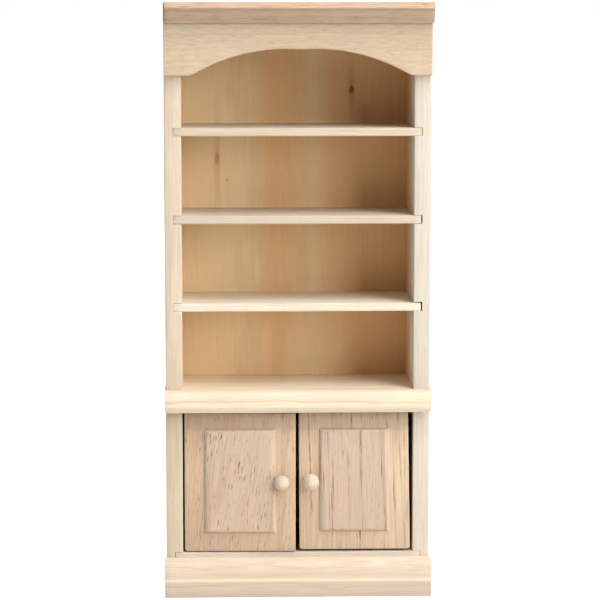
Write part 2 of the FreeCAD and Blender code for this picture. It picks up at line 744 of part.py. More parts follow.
# ---------------------------------------------------------------- the whole bookcase
def make_bookcase(doc):
    make_lower_sides(doc)
    drill_floor(doc, make_bottom_board(doc))
    make_counter(doc)
    make_upper_sides(doc)
    make_shelves(doc)
    make_top_board(doc)
    make_back_panels(doc)
    make_brads(doc)
    make_valance(doc)
    make_crown(doc)
    make_base_moulding(doc)
    make_pins(doc)
    for side in SIDES:
        make_door(doc, side)
        make_door_panel(doc, side)
        make_knob(doc, side)
    doc.recompute()


def is_sub_part(thing):
    """Bodies, the pins and the group of brads are sub-parts; the rest builds them."""
    is_body = thing.isDerivedFrom("PartDesign::Body")
    return is_body or thing.Name.startswith("hinge_pin") or thing.Name == "back_brads"


def write_parts(doc):
    """Checks every object, then writes each sub-part to its own file."""
    for thing in doc.Objects:
        if "Invalid" in thing.State or "Error" in thing.State:
            raise RuntimeError(f"{thing.Label} failed: {thing.State}")
    sub_parts = [thing for thing in doc.Objects if is_sub_part(thing)]
    for thing in sub_parts:
        if thing.Shape.isNull() or not thing.Shape.isValid():
            raise RuntimeError(f"{thing.Label} has no valid shape")
    os.makedirs("parts", exist_ok=True)
    for thing in sub_parts:
        thing.Shape.exportStep(f"parts/{thing.Label}.step")
        print(f"{thing.Label}: {thing.Shape.Volume:.2f} mm3")


document = FreeCAD.newDocument("miniature_bookcase")
make_sheet(document)
make_bookcase(document)
write_parts(document)
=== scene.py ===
"""A miniature bookcase in bare wood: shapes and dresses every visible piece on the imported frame."""

import json
import logging
import math
import random
from collections.abc import Callable, Iterable, Iterator
from contextlib import contextmanager
from dataclasses import dataclass, field, replace
from enum import Enum

import bmesh
import bpy
from mathutils import Euler, Matrix, Vector


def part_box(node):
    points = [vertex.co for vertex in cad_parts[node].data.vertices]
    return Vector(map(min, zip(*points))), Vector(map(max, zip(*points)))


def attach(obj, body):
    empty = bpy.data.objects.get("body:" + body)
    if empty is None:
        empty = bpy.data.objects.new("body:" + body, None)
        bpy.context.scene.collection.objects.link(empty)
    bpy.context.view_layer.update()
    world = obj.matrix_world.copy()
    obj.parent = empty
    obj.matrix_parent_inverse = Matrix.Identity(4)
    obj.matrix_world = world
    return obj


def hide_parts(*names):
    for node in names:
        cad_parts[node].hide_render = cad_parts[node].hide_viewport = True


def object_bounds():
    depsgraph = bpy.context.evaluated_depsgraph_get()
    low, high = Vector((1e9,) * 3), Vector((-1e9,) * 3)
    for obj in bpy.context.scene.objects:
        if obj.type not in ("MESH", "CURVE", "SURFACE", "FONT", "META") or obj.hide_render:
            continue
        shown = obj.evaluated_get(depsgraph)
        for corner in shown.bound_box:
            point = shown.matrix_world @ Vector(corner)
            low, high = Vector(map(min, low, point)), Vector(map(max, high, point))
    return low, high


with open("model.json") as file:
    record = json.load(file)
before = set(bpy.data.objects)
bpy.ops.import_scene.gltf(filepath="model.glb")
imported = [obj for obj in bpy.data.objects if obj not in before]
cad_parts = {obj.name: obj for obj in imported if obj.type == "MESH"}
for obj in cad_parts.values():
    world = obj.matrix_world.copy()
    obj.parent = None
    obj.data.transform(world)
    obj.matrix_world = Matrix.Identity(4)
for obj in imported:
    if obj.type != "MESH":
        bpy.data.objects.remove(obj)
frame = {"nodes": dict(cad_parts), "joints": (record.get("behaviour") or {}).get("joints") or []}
CAD_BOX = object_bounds()

MM = 0.001
LOG = logging.getLogger("bookcase")

Tree = bpy.types.NodeTree
Socket = bpy.types.NodeSocket

RELIEF_MM = 0.06  # from the deepest pore to the proudest fibre
PALE_ARRIS_MM = 0.25  # how far the pale arrises reach in: sanding wear with a painted highlight
ARRIS_WEAR_AND_HIGHLIGHT = "#FBEEDA"  # the colour laid on arrises: fresh wood that sanding lays bare, with a painted highlight
BRIGHTEST = 1.25  # the highest factor of the painted light and shade, because a curve node stops at 1
MERGE = 0.0005 * MM  # points nearer than this are one point
SEAM = 0.001 * MM  # the same, where a profile is joined up
FULL_TURN = 2 * math.pi


class Body(Enum):
    """The bodies that pieces ride on."""

    CASE = "case"
    LEFT_DOOR = "left_door"
    RIGHT_DOOR = "right_door"


class Slot(Enum):
    """The record's material slots."""

    CASE_WOOD = "case_wood"
    BACK_WOOD = "back_wood"
    DOOR_WOOD = "door_wood"
    KNOB_WOOD = "knob_wood"
    PIN_STEEL = "pin_steel"


class Grain(Enum):
    """The way that the fibres run, as the turn that brings them upright."""

    ACROSS = (0.0, -math.pi / 2, 0.0)
    BACKWARDS = (math.pi / 2, 0.0, 0.0)
    UPRIGHT = (0.0, 0.0, 0.0)


# ------------------------------------------------------------------ shader helpers
def linear(colour: str) -> tuple[float, float, float, float]:
    """Turns an sRGB hex colour into linear light.

    Args:
        colour: Six hex digits after a hash sign.

    Returns:
        Red, green, blue and an alpha of 1.
    """
    parts = [int(colour[start:start + 2], 16) / 255 for start in (1, 3, 5)]
    light = [part / 12.92 if part <= 0.04045 else ((part + 0.055) / 1.055) ** 2.4 for part in parts]
    return (light[0], light[1], light[2], 1.0)


def add(tree: Tree, kind: str, inputs: dict | None = None, **settings: object) -> bpy.types.Node:
    """Adds a node with its settings, values and links.

    Args:
        tree: The node tree that the node goes into.
        kind: The node's type.
        inputs: A value or another node's output for each input, by name or number.
        settings: The node's own properties.

    Returns:
        The new node.
    """
    node = tree.nodes.new(kind)
    for name, value in settings.items():
        setattr(node, name, value)
    for place, value in (inputs or {}).items():
        if isinstance(value, Socket):
            tree.links.new(value, node.inputs[place])
        else:
            node.inputs[place].default_value = value
    return node


def maths(tree: Tree, operation: str, *values: object) -> Socket:
    """Adds a node that works on numbers.

    Args:
        tree: The node tree that the node goes into.
        operation: What the node does.
        values: A number or another node's output for each input, in order.

    Returns:
        The result.
    """
    return add(tree, "ShaderNodeMath", dict(enumerate(values)), operation=operation).outputs[0]


@dataclass(frozen=True)
class Knot:
    """A small sound knot: the stub of a twig, with the grain parting round it.

    Attributes:
        across: Its middle, as a share of the board's width from the left.
        up: Its middle, as a share of the board's height from the bottom.
        radius_mm: Half its width across the grain.
        length: Its length along the grain over its width.
        heart: The colour of its middle.
        depth: How strongly it colours the wood.
        tail: How strongly the streak beyond its ends shows.
    """

    across: float
    up: float
    radius_mm: float
    length: float
    heart: str
    depth: float
    tail: float


@dataclass(frozen=True)
class BareWood:
    """Planed and sanded wood with no finish: matt, pale, with growth rings, fibres and open pores.

    Growth rings are cylinders round a pith line that lies off the board, so that one formula gives the
    long lines on a face and the arcs on the end grain.

    Attributes:
        name: The material's name.
        early: The colour of the light part of each ring.
        late: The colour of the dark part of each ring.
        drift_colour: The colour that broad patches drift towards.
        end_colour: The colour of cut ends.
        grain: The way that the fibres run.
        ring_mm: The width of one growth ring.
        pith_mm: The pith line's place from the board's middle, across the fibres.
        lean_deg: The fibres' turn out of true, in the board's face.
        rings: How strongly the rings show.
        drift: How strongly the broad patches show.
        drift_mm: The width and length of a broad patch.
        fibres: How strongly the fibres show.
        fibre_mm: The width and length of a bundle of fibres. Single ones are ten times finer, too fine
            to see, so bundles are drawn.
        wander_mm: How far the rings wander along the board.
        pore_colour: The colour inside open pores.
        pores: How strongly the pores show.
        pore_share: The share of the surface, from 0 to 1, that pores may take.
        pore_mm: The width and length of a pore.
        streaks: How strongly long dark streaks show.
        streak_mm: The width and length of a streak.
        bump: The height of the surface's relief, from 0 to 1.
        seed: Moves every pattern, so that no two boards are alike.
        knots: The knots in the board.
        shade_tint_lean: How much more of the drift colour shows with each millimetre along the two directions
            across the fibres: painted warm shade towards the side of a board that lies in shadow.
        painted_light: The brightness at shares of the board's height: painted shade where overhangs cast
            shadows and in hollows, and painted highlights on rounds that face the light.
    """

    name: str
    early: str = "#F0DFC5"
    late: str = "#DEC4A0"
    drift_colour: str = "#EBD2B4"
    end_colour: str = "#D9BC93"
    grain: Grain = Grain.UPRIGHT
    ring_mm: float = 1.6
    pith_mm: tuple[float, float] = (6.0, 30.0)
    lean_deg: float = 0.0
    rings: float = 0.5
    drift: float = 0.5
    drift_mm: tuple[float, float] = (5.0, 45.0)
    fibres: float = 0.10
    fibre_mm: tuple[float, float] = (0.34, 11.0)
    wander_mm: float = 1.6
    pore_colour: str = "#A98763"
    pores: float = 0.25
    pore_share: float = 0.30
    pore_mm: tuple[float, float] = (0.22, 2.2)
    streaks: float = 0.0
    streak_mm: tuple[float, float] = (0.7, 60.0)
    bump: float = 0.35
    seed: float = 0.0
    knots: tuple[Knot, ...] = ()
    shade_tint_lean: tuple[float, float] = (0.0, 0.0)
    # Painted shade and painted highlights by height; empty for none.
    painted_light: tuple[tuple[float, float], ...] = ()

    def make(self, low: Vector, high: Vector) -> bpy.types.Material:
        """Builds the material for a board between two corners.

        Args:
            low: The board's lowest corner.
            high: The board's highest corner.

        Returns:
            The material.
        """
        material = bpy.data.materials.new(self.name)
        material.use_nodes = True
        tree = material.node_tree
        tree.nodes.clear()
        place = add(tree, "ShaderNodeTexCoord")
        coords = self._along_fibres(tree, place.outputs["Object"], low, high)
        knots = [self._knot(tree, place.outputs["Object"], knot, low, high) for knot in self.knots]
        rings = self._rings(tree, coords, knots)
        fibre = self._noise(tree, coords, *self.fibre_mm, 3.0)
        pore = self._pores(tree, coords)
        colour = self._colour(tree, coords, rings, fibre, pore, knots)
        # Painted shade and highlights, laid on by height.
        if self.painted_light:
            colour = self._paint_light_by_height(tree, place.outputs["Object"], low, high, colour)
        colour = self._ends_and_arrises(tree, place, colour)
        height = self._height(tree, rings, fibre, pore)
        normal = add(tree, "ShaderNodeBump", {
            "Strength": self.bump, "Distance": RELIEF_MM * MM, "Height": height,
        })
        rough = add(tree, "ShaderNodeMapRange", {"Value": fibre, "To Min": 0.66, "To Max": 0.86})
        shader = add(tree, "ShaderNodeBsdfPrincipled", {
            "Base Color": colour,
            "Roughness": rough.outputs[0],
            "Normal": normal.outputs[0],
            "IOR": 1.5,
            "Specular IOR Level": 0.3,
            "Sheen Weight": 0.06,
            "Sheen Roughness": 0.6,
        })
        add(tree, "ShaderNodeOutputMaterial", {"Surface": shader.outputs[0]})
        return material

    def _along_fibres(self, tree: Tree, place: Socket, low: Vector,
                      high: Vector) -> Socket:
        """Millimetres from the pith line, with the third coordinate along the fibres.

        Args:
            tree: The material's node tree.
            place: The object coordinates.
            low: The board's lowest corner.
            high: The board's highest corner.

        Returns:
            The coordinates.
        """
        turn = Matrix.Rotation(math.radians(self.lean_deg), 3, "Y")
        turn = turn @ Euler(self.grain.value).to_matrix()
        middle = turn @ ((low + high) / 2) / MM
        offset = Vector((self.pith_mm[0], self.pith_mm[1], self.seed * 37.0)) - middle
        mapping = add(tree, "ShaderNodeMapping", {
            "Vector": place,
            "Location": offset,
            "Rotation": turn.to_euler(),
            "Scale": (1 / MM, 1 / MM, 1 / MM),
        })
        return mapping.outputs[0]

    def _noise(self, tree: Tree, coords: Socket, across_mm: float, along_mm: float,
               detail: float, shift: float = 0.0) -> Socket:
        """Cloudy noise drawn out along the fibres, from 0 to 1 about 0.5.

        Args:
            tree: The material's node tree.
            coords: The millimetres along and across the fibres.
            across_mm: The pattern's width across the fibres.
            along_mm: Its length along the fibres.
            detail: How many finer layers it has.
            shift: Moves it away from the other patterns.

        Returns:
            The noise.
        """
        stretched = add(tree, "ShaderNodeMapping", {
            "Vector": coords,
            "Location": (self.seed + shift, shift * 1.7, self.seed * 2.3),
            "Scale": (1 / across_mm, 1 / across_mm, 1 / along_mm),
        })
        noise = add(tree, "ShaderNodeTexNoise", {
            "Vector": stretched.outputs[0], "Scale": 1.0, "Detail": detail, "Roughness": 0.55,
        })
        return noise.outputs[0]

    def _rings(self, tree: Tree, coords: Socket,
               knots: list[tuple[Socket, Socket]]) -> Socket:
        """The growth rings: 0 in early wood, rising to 1 in late wood, with each ring unlike the next.

        Args:
            tree: The material's node tree.
            coords: The millimetres along and across the fibres.
            knots: Each knot's two distances.

        Returns:
            How dark each ring is.
        """
        parts = add(tree, "ShaderNodeSeparateXYZ", {"Vector": coords})
        flat = add(tree, "ShaderNodeCombineXYZ", {"X": parts.outputs[0], "Y": parts.outputs[1]})
        radius = add(tree, "ShaderNodeVectorMath", {0: flat.outputs[0]}, operation="LENGTH").outputs["Value"]
        wander = self._noise(tree, coords, 9.0, 34.0, 2.0, 5.0)
        radius = maths(tree, "MULTIPLY_ADD", wander, self.wander_mm * 2, radius)
        ripple = self._noise(tree, coords, 1.1, 14.0, 2.0, 9.0)
        radius = maths(tree, "MULTIPLY_ADD", ripple, self.wander_mm * 0.35, radius)
        for shape, _ in knots:
            bulge = add(tree, "ShaderNodeMapRange", {
                "Value": shape, "From Max": 3.5, "To Min": 1.6, "To Max": 0.0,
            }, interpolation_type="SMOOTHERSTEP").outputs[0]
            radius = maths(tree, "ADD", radius, bulge)
        count = maths(tree, "DIVIDE", radius, self.ring_mm)
        within = maths(tree, "FRACT", count)
        late = add(tree, "ShaderNodeFloatCurve", {"Value": within})
        points = late.mapping.curves[0].points
        points[0].location = (0.0, 0.25)
        points[1].location = (1.0, 0.0)
        for spot in ((0.08, 0.0), (0.55, 0.16), (0.84, 0.7), (0.93, 1.0)):
            points.new(*spot)
        late.mapping.update()
        number = maths(tree, "FLOOR", count)
        own = add(tree, "ShaderNodeTexWhiteNoise", {"W": number}, noise_dimensions="1D").outputs["Value"]
        own = add(tree, "ShaderNodeMapRange", {"Value": own, "To Min": 0.25, "To Max": 1.0}).outputs[0]
        return maths(tree, "MULTIPLY", late.outputs[0], own)

    def _pores(self, tree: Tree, coords: Socket) -> Socket:
        """Open pores: short dark dashes along the fibres, crowded in some bands and rare in others.

        Args:
            tree: The material's node tree.
            coords: The millimetres along and across the fibres.

        Returns:
            1 in a pore and 0 outside.
        """
        spots = self._noise(tree, coords, self.pore_mm[0], self.pore_mm[1], 1.0, 13.0)
        crowd = self._noise(tree, coords, 4.0, 22.0, 1.0, 17.0)
        level = add(tree, "ShaderNodeMapRange", {
            "Value": crowd, "From Min": 0.3, "From Max": 0.7,
            "To Min": 0.80 - 0.25 * self.pore_share, "To Max": 0.70 - 0.25 * self.pore_share,
        }).outputs[0]
        over = maths(tree, "SUBTRACT", spots, level)
        return add(tree, "ShaderNodeMapRange", {"Value": over, "From Max": 0.10}).outputs[0]

    def _colour(self, tree: Tree, coords: Socket, rings: Socket,
                fibre: Socket, pore: Socket,
                knots: list[tuple[Socket, Socket]]) -> Socket:
        """The wood's colour before its ends and arrises.

        Args:
            tree: The material's node tree.
            coords: The millimetres along and across the fibres.
            rings: The growth rings.
            fibre: The fibres.
            pore: The pores.
            knots: Each knot's two distances.

        Returns:
            The colour.
        """
        share = maths(tree, "MULTIPLY", rings, self.rings)
        colour = self._blend(tree, share, linear(self.early), linear(self.late))
        patches = self._noise(tree, coords, *self.drift_mm, 1.5, 21.0)
        # The drift colour leans towards one side: painted warm shade where the board lies in shadow.
        lean = Vector((*self.shade_tint_lean, 0.0))
        side = add(tree, "ShaderNodeVectorMath", {0: coords, 1: lean},
                   operation="DOT_PRODUCT").outputs["Value"]
        side = maths(tree, "SUBTRACT", side, lean.dot(Vector((*self.pith_mm, 0.0))))
        patches = maths(tree, "ADD", patches, side)
        patches = add(tree, "ShaderNodeMapRange", {
            "Value": patches, "From Min": 0.35, "From Max": 0.65, "To Max": self.drift,
        }).outputs[0]
        colour = self._blend(tree, patches, colour, linear(self.drift_colour))
        if self.streaks:
            streak = self._noise(tree, coords, *self.streak_mm, 2.0, 29.0)
            streak = add(tree, "ShaderNodeMapRange", {
                "Value": streak, "From Min": 0.58, "From Max": 0.70, "To Max": self.streaks,
            }).outputs[0]
            broken = self._noise(tree, coords, 0.5, 5.0, 2.0, 31.0)
            broken = add(tree, "ShaderNodeMapRange", {
                "Value": broken, "From Min": 0.35, "From Max": 0.6,
            }).outputs[0]
            streak = maths(tree, "MULTIPLY", streak, broken)
            colour = self._blend(tree, streak, colour, linear(self.pore_colour))
        depth = maths(tree, "MULTIPLY", pore, self.pores)
        colour = self._blend(tree, depth, colour, linear(self.pore_colour))
        for knot, (shape, streak) in zip(self.knots, knots):
            colour = self._stain_knot(tree, knot, shape, streak, colour)
        shade = add(tree, "ShaderNodeMapRange", {
            "Value": fibre, "From Min": 0.25, "From Max": 0.75,
            "To Min": 1 - self.fibres, "To Max": 1 + self.fibres,
        }).outputs[0]
        return add(tree, "ShaderNodeVectorMath", {0: colour, "Scale": shade}, operation="SCALE").outputs[0]

    def _paint_light_by_height(self, tree: Tree, place: Socket, low: Vector, high: Vector,
               colour: Socket) -> Socket:
        """Paints light and shade by height: darkens the wood where overhangs cast their shadows and in
        hollows, and pales it where rounds face the light.

        Args:
            tree: The material's node tree.
            place: The object coordinates.
            low: The board's lowest corner.
            high: The board's highest corner.
            colour: The colour so far.

        Returns:
            The colour.
        """
        up = add(tree, "ShaderNodeSeparateXYZ", {"Vector": place}).outputs[2]
        up = add(tree, "ShaderNodeMapRange", {"Value": up, "From Min": low.z, "From Max": high.z}).outputs[0]
        curve = add(tree, "ShaderNodeFloatCurve", {"Value": up})
        points = curve.mapping.curves[0].points
        first, *between, last = self.painted_light
        points[0].location = (first[0], first[1] / BRIGHTEST)
        points[1].location = (last[0], last[1] / BRIGHTEST)
        for share, bright in between:
            points.new(share, bright / BRIGHTEST)
        curve.mapping.update()
        scale = maths(tree, "MULTIPLY", curve.outputs[0], BRIGHTEST)
        return add(tree, "ShaderNodeVectorMath", {0: colour, "Scale": scale}, operation="SCALE").outputs[0]

    def _blend(self, tree: Tree, share: object, first: object, second: object) -> Socket:
        """Mixes two colours, each a socket or four numbers."""
        return add(tree, "ShaderNodeMix", {0: share, 6: first, 7: second}, data_type="RGBA").outputs[2]

    def _knot(self, tree: Tree, place: Socket, knot: Knot, low: Vector,
              high: Vector) -> tuple[Socket, Socket]:
        """The distances from a knot's middle, 1 at its rim: across it, and drawn out along its streak.

        Args:
            tree: The material's node tree.
            place: The object coordinates.
            knot: The knot.
            low: The board's lowest corner.
            high: The board's highest corner.

        Returns:
            The two distances.
        """
        x = low.x + knot.across * (high.x - low.x)
        z = low.z + knot.up * (high.z - low.z)
        wide = 1 / (knot.radius_mm * MM)
        tall = wide / knot.length
        shapes = []
        for thin, long in ((1.0, 1.0), (1.2, 0.26)):
            local = add(tree, "ShaderNodeMapping", {
                "Vector": place, "Location": (-x * wide * thin, 0.0, -z * tall * long),
                "Scale": (wide * thin, 0.0, tall * long),
            }).outputs[0]
            ragged = add(tree, "ShaderNodeTexNoise", {
                "Vector": local, "Scale": 1.4, "Detail": 2.0,
            }).outputs["Color"]
            local = add(tree, "ShaderNodeVectorMath", {0: ragged, 1: (0.7, 0.0, 0.7), 2: local},
                        operation="MULTIPLY_ADD").outputs[0]
            local = add(tree, "ShaderNodeVectorMath", {0: local, 1: (0.35, 0.0, 0.35)},
                        operation="SUBTRACT").outputs[0]
            shapes.append(add(tree, "ShaderNodeVectorMath", {0: local}, operation="LENGTH").outputs["Value"])
        return shapes[0], shapes[1]

    def _stain_knot(self, tree: Tree, knot: Knot, shape: Socket,
                    streak: Socket, colour: Socket) -> Socket:
        """Lays a knot's dark heart, and the fainter streak that runs out of its ends, over the wood.

        Args:
            tree: The material's node tree.
            knot: The knot.
            shape: The distance across the knot.
            streak: The distance along its streak.
            colour: The colour so far.

        Returns:
            The colour.
        """
        heart = add(tree, "ShaderNodeMapRange", {
            "Value": shape, "From Min": 0.35, "From Max": 1.15, "To Min": knot.depth, "To Max": 0.0,
        }, interpolation_type="SMOOTHSTEP").outputs[0]
        halo = add(tree, "ShaderNodeMapRange", {
            "Value": streak, "From Min": 0.3, "From Max": 2.0, "To Min": knot.tail, "To Max": 0.0,
        }, interpolation_type="SMOOTHSTEP").outputs[0]
        both = maths(tree, "MAXIMUM", heart, halo)
        return self._blend(tree, both, colour, linear(knot.heart))

    def _ends_and_arrises(self, tree: Tree, place: bpy.types.Node,
                          colour: Socket) -> Socket:
        """Darkens cut ends, which drink in light, and pales the arrises: partly fresh wood that sanding has
        just cut, partly a painted highlight where the rounds catch the light.

        Args:
            tree: The material's node tree.
            place: The object coordinates.
            colour: The colour so far.

        Returns:
            The colour.
        """
        fibres = Euler(self.grain.value).to_matrix().inverted() @ Vector((0.0, 0.0, 1.0))
        facing = add(tree, "ShaderNodeVectorMath", {0: place.outputs["Normal"], 1: fibres},
                     operation="DOT_PRODUCT").outputs["Value"]
        facing = maths(tree, "ABSOLUTE", facing)
        end = add(tree, "ShaderNodeMapRange", {
            "Value": facing, "From Min": 0.6, "From Max": 0.95, "To Max": 0.6,
        }).outputs[0]
        colour = self._blend(tree, end, colour, linear(self.end_colour))
        rounded = add(tree, "ShaderNodeBevel", {"Radius": PALE_ARRIS_MM * MM}, samples=4).outputs[0]
        true = add(tree, "ShaderNodeNewGeometry").outputs["Normal"]
        same = add(tree, "ShaderNodeVectorMath", {0: rounded, 1: true},
                   operation="DOT_PRODUCT").outputs["Value"]
        # Pale arrises: sanding wear plus a painted highlight.
        wear_and_highlight = add(tree, "ShaderNodeMapRange", {
            "Value": same, "From Min": 0.80, "From Max": 0.995, "To Min": 0.5, "To Max": 0.0,
        }).outputs[0]
        return self._blend(tree, wear_and_highlight, colour, linear(ARRIS_WEAR_AND_HIGHLIGHT))

    def _height(self, tree: Tree, rings: Socket, fibre: Socket,
                pore: Socket) -> Socket:
        """The relief: fibres stand a little proud, pores are open, and late wood stays higher when sanded."""
        height = maths(tree, "MULTIPLY_ADD", rings, 0.25, fibre)
        return maths(tree, "MULTIPLY_ADD", pore, -0.9, height)


@dataclass(frozen=True)
class DrawnSteel:
    """Bright wire drawn through a die: fine scratches run round and along it, with a few dull spots.

    Attributes:
        name: The material's name.
        colour: The colour of clean metal.
        dull: The colour of spots that have begun to tarnish.
        spot_mm: The size of a dull spot.
        scratch_mm: The width of one scratch, drawn coarser than the real hundredth so that it shows.
        scratch_depth_mm: The depth of one scratch.
    """

    name: str
    colour: str = "#A9A8A6"
    dull: str = "#6E675F"
    spot_mm: float = 1.2
    scratch_mm: float = 0.05
    scratch_depth_mm: float = 0.01

    def make(self) -> bpy.types.Material:
        """Builds the material.

        Returns:
            The material.
        """
        material = bpy.data.materials.new(self.name)
        material.use_nodes = True
        tree = material.node_tree
        tree.nodes.clear()
        place = add(tree, "ShaderNodeTexCoord").outputs["Object"]
        spots = add(tree, "ShaderNodeTexNoise", {
            "Vector": place, "Scale": 1 / (self.spot_mm * MM), "Detail": 3.0,
        }).outputs[0]
        spots = add(tree, "ShaderNodeMapRange", {
            "Value": spots, "From Min": 0.5, "From Max": 0.75,
        }).outputs[0]
        stretch = 1 / (self.scratch_mm * MM)
        fine = add(tree, "ShaderNodeMapping", {
            "Vector": place, "Scale": (stretch, stretch / 20, stretch),
        }).outputs[0]
        scratch = add(tree, "ShaderNodeTexNoise", {"Vector": fine, "Scale": 1.0, "Detail": 2.0}).outputs[0]
        colour = add(tree, "ShaderNodeMix", {0: spots, 6: linear(self.colour), 7: linear(self.dull)},
                     data_type="RGBA").outputs[2]
        rough = add(tree, "ShaderNodeMapRange", {"Value": scratch, "To Min": 0.25, "To Max": 0.55}).outputs[0]
        normal = add(tree, "ShaderNodeBump", {
            "Strength": 0.2, "Distance": self.scratch_depth_mm * MM, "Height": scratch,
        }).outputs[0]
        shader = add(tree, "ShaderNodeBsdfPrincipled", {
            "Base Color": colour, "Metallic": 1.0, "Roughness": rough, "Normal": normal,
        })
        add(tree, "ShaderNodeOutputMaterial", {"Surface": shader.outputs[0]})
        return material


# ------------------------------------------------------------------ the bench
class Workpiece:
    """One piece on the bench, shaped with Blender's own operators.

    Attributes:
        thing: The Blender object, which stays at the origin with its place in its mesh.
    """

    def __init__(self, thing: bpy.types.Object, name: str) -> None:
        """Takes up an object and names it and its mesh.

        Args:
            thing: The Blender object.
            name: The piece's name.
        """
        self.thing = thing
        thing.name = name
        thing.data.name = name

    @classmethod
    def block(cls, name: str, low: Vector, high: Vector) -> "Workpiece":
        """Starts from a sawn block between two corners.

        Args:
            name: The piece's name.
            low: The board's lowest corner.
            high: The board's highest corner.

        Returns:
            The piece.
        """
        bpy.ops.object.select_all(action="DESELECT")
        bpy.ops.mesh.primitive_cube_add(size=1, location=(low + high) / 2, scale=high - low)
        bpy.ops.object.transform_apply(location=True, rotation=True, scale=True)
        return cls(bpy.context.active_object, name)

    @classmethod
    def sheet(cls, name: str, low: Vector, high: Vector, columns: int = 1) -> "Workpiece":
        """Starts from a thin upright sheet between two corners, in columns, facing -Y.

        Args:
            name: The piece's name.
            low: The board's lowest corner.
            high: The board's highest corner.
            columns: The number of strips.

        Returns:
            The piece.
        """
        middle = Vector(((low.x + high.x) / 2, low.y, (low.z + high.z) / 2))
        bpy.ops.object.select_all(action="DESELECT")
        bpy.ops.mesh.primitive_grid_add(
            x_subdivisions=columns, y_subdivisions=1, size=1, rotation=(math.pi / 2, 0.0, 0.0),
            location=middle)
        bpy.ops.object.transform_apply(location=True, rotation=True, scale=True)
        piece = cls(bpy.context.active_object, name)
        with piece.editing("VERT"):
            bpy.ops.mesh.select_all(action="SELECT")
            bpy.ops.transform.resize(value=(high.x - low.x, 1.0, high.z - low.z), center_override=middle)
        return piece

    @classmethod
    def rod(cls, name: str, radius: float, start: Vector, end: Vector, sides: int = 32) -> "Workpiece":
        """Starts from a round rod along one of the axes, from start to end.

        Args:
            name: The piece's name.
            radius: The rod's radius.
            start: The first end.
            end: The other end.
            sides: The number of flats round it.

        Returns:
            The piece.
        """
        along = end - start
        turn = Vector((0.0, 0.0, 1.0)).rotation_difference(along).to_euler()
        bpy.ops.object.select_all(action="DESELECT")
        bpy.ops.mesh.primitive_cylinder_add(
            vertices=sides, radius=radius, depth=along.length, location=(start + end) / 2, rotation=turn)
        bpy.ops.object.transform_apply(location=True, rotation=True, scale=True)
        return cls(bpy.context.active_object, name)

    def activate(self) -> None:
        """Makes this the only selected object, and the active one."""
        bpy.ops.object.select_all(action="DESELECT")
        self.thing.select_set(True)
        bpy.context.view_layer.objects.active = self.thing

    @contextmanager
    def editing(self, kind: str = "FACE") -> Iterator[None]:
        """Holds the piece in edit mode with nothing selected.

        Args:
            kind: VERT, EDGE or FACE, which is what gets picked.
        """
        self.activate()
        bpy.ops.object.mode_set(mode="EDIT")
        bpy.ops.mesh.select_mode(type=kind)
        bpy.ops.mesh.select_all(action="DESELECT")
        yield
        bpy.ops.object.mode_set(mode="OBJECT")

    def pick_faces(self, test: Callable[[Vector, Vector], bool]) -> None:
        """Selects the faces whose middle and normal pass a test.

        Args:
            test: Says which parts are meant.
        """
        mesh = bmesh.from_edit_mesh(self.thing.data)
        for face in mesh.faces:
            face.select_set(test(face.calc_center_median(), face.normal))
        bmesh.update_edit_mesh(self.thing.data)

    def pick_edges(self, test: Callable[[Vector, Vector], bool]) -> int:
        """Selects the edges whose two ends pass a test, and returns how many.

        Args:
            test: Says which parts are meant.

        Returns:
            The number picked.
        """
        mesh = bmesh.from_edit_mesh(self.thing.data)
        chosen = [edge for edge in mesh.edges if test(edge.verts[0].co, edge.verts[1].co)]
        for edge in chosen:
            edge.select_set(True)
        bmesh.update_edit_mesh(self.thing.data)
        return len(chosen)

    def pick_points(self, test: Callable[[Vector], bool]) -> int:
        """Selects the vertices whose place passes a test, and returns how many.

        Args:
            test: Says which parts are meant.

        Returns:
            The number picked.
        """
        mesh = bmesh.from_edit_mesh(self.thing.data)
        chosen = [vert for vert in mesh.verts if test(vert.co)]
        for vert in chosen:
            vert.select_set(True)
        bmesh.update_edit_mesh(self.thing.data)
        return len(chosen)

    def slice(self, axis: int, places: Iterable[float]) -> None:
        """Cuts the surface by planes square to an axis, so that long edges can bend a little.

        Args:
            axis: 0, 1 or 2.
            places: The planes' coordinates.
        """
        normal = Vector((0.0, 0.0, 0.0))
        normal[axis] = 1.0
        with self.editing("VERT"):
            for place in places:
                bpy.ops.mesh.select_all(action="SELECT")
                bpy.ops.mesh.bisect(plane_co=normal * place, plane_no=normal)

    def slice_evenly(self, axis: int, step_mm: float) -> None:
        """Slices the piece along an axis into lengths of about step_mm.

        Args:
            axis: 0, 1 or 2.
            step_mm: The length of a slice.
        """
        low, high = self.extent(axis)
        count = max(1, round((high - low) / (step_mm * MM)))
        self.slice(axis, [low + (high - low) * number / count for number in range(1, count)])

    def extent(self, axis: int) -> tuple[float, float]:
        """The lowest and highest coordinate along an axis."""
        places = [vert.co[axis] for vert in self.thing.data.vertices]
        return min(places), max(places)

    def round_edges(self, radius_mm: float, steps: int, test: Callable[[Vector, Vector], bool]) -> None:
        """Rounds the edges whose two ends pass a test.

        Args:
            radius_mm: The rounding's radius.
            steps: The number of facets.
            test: Says which parts are meant.
        """
        with self.editing("EDGE"):
            if self.pick_edges(test):
                bpy.ops.mesh.bevel(offset=radius_mm * MM, segments=steps, affect="EDGES", clamp_overlap=True)

    def move_points(self, by: Vector, test: Callable[[Vector], bool]) -> None:
        """Moves the vertices that pass a test.

        Args:
            by: How far they move.
            test: Says which parts are meant.
        """
        with self.editing("VERT"):
            if self.pick_points(test):
                bpy.ops.transform.translate(value=by)

    def cut_away(self, tools: list["Workpiece"]) -> None:
        """Cuts other pieces' shapes out of this one, and throws those pieces away.

        Args:
            tools: The pieces that cut.
        """
        for tool in tools:
            self.activate()
            bpy.ops.object.modifier_add(type="BOOLEAN")
            cut = self.thing.modifiers[-1]
            cut.operation = "DIFFERENCE"
            cut.object = tool.thing
            cut.solver = "EXACT"
            bpy.ops.object.modifier_apply(modifier=cut.name)
            bpy.data.objects.remove(tool.thing)

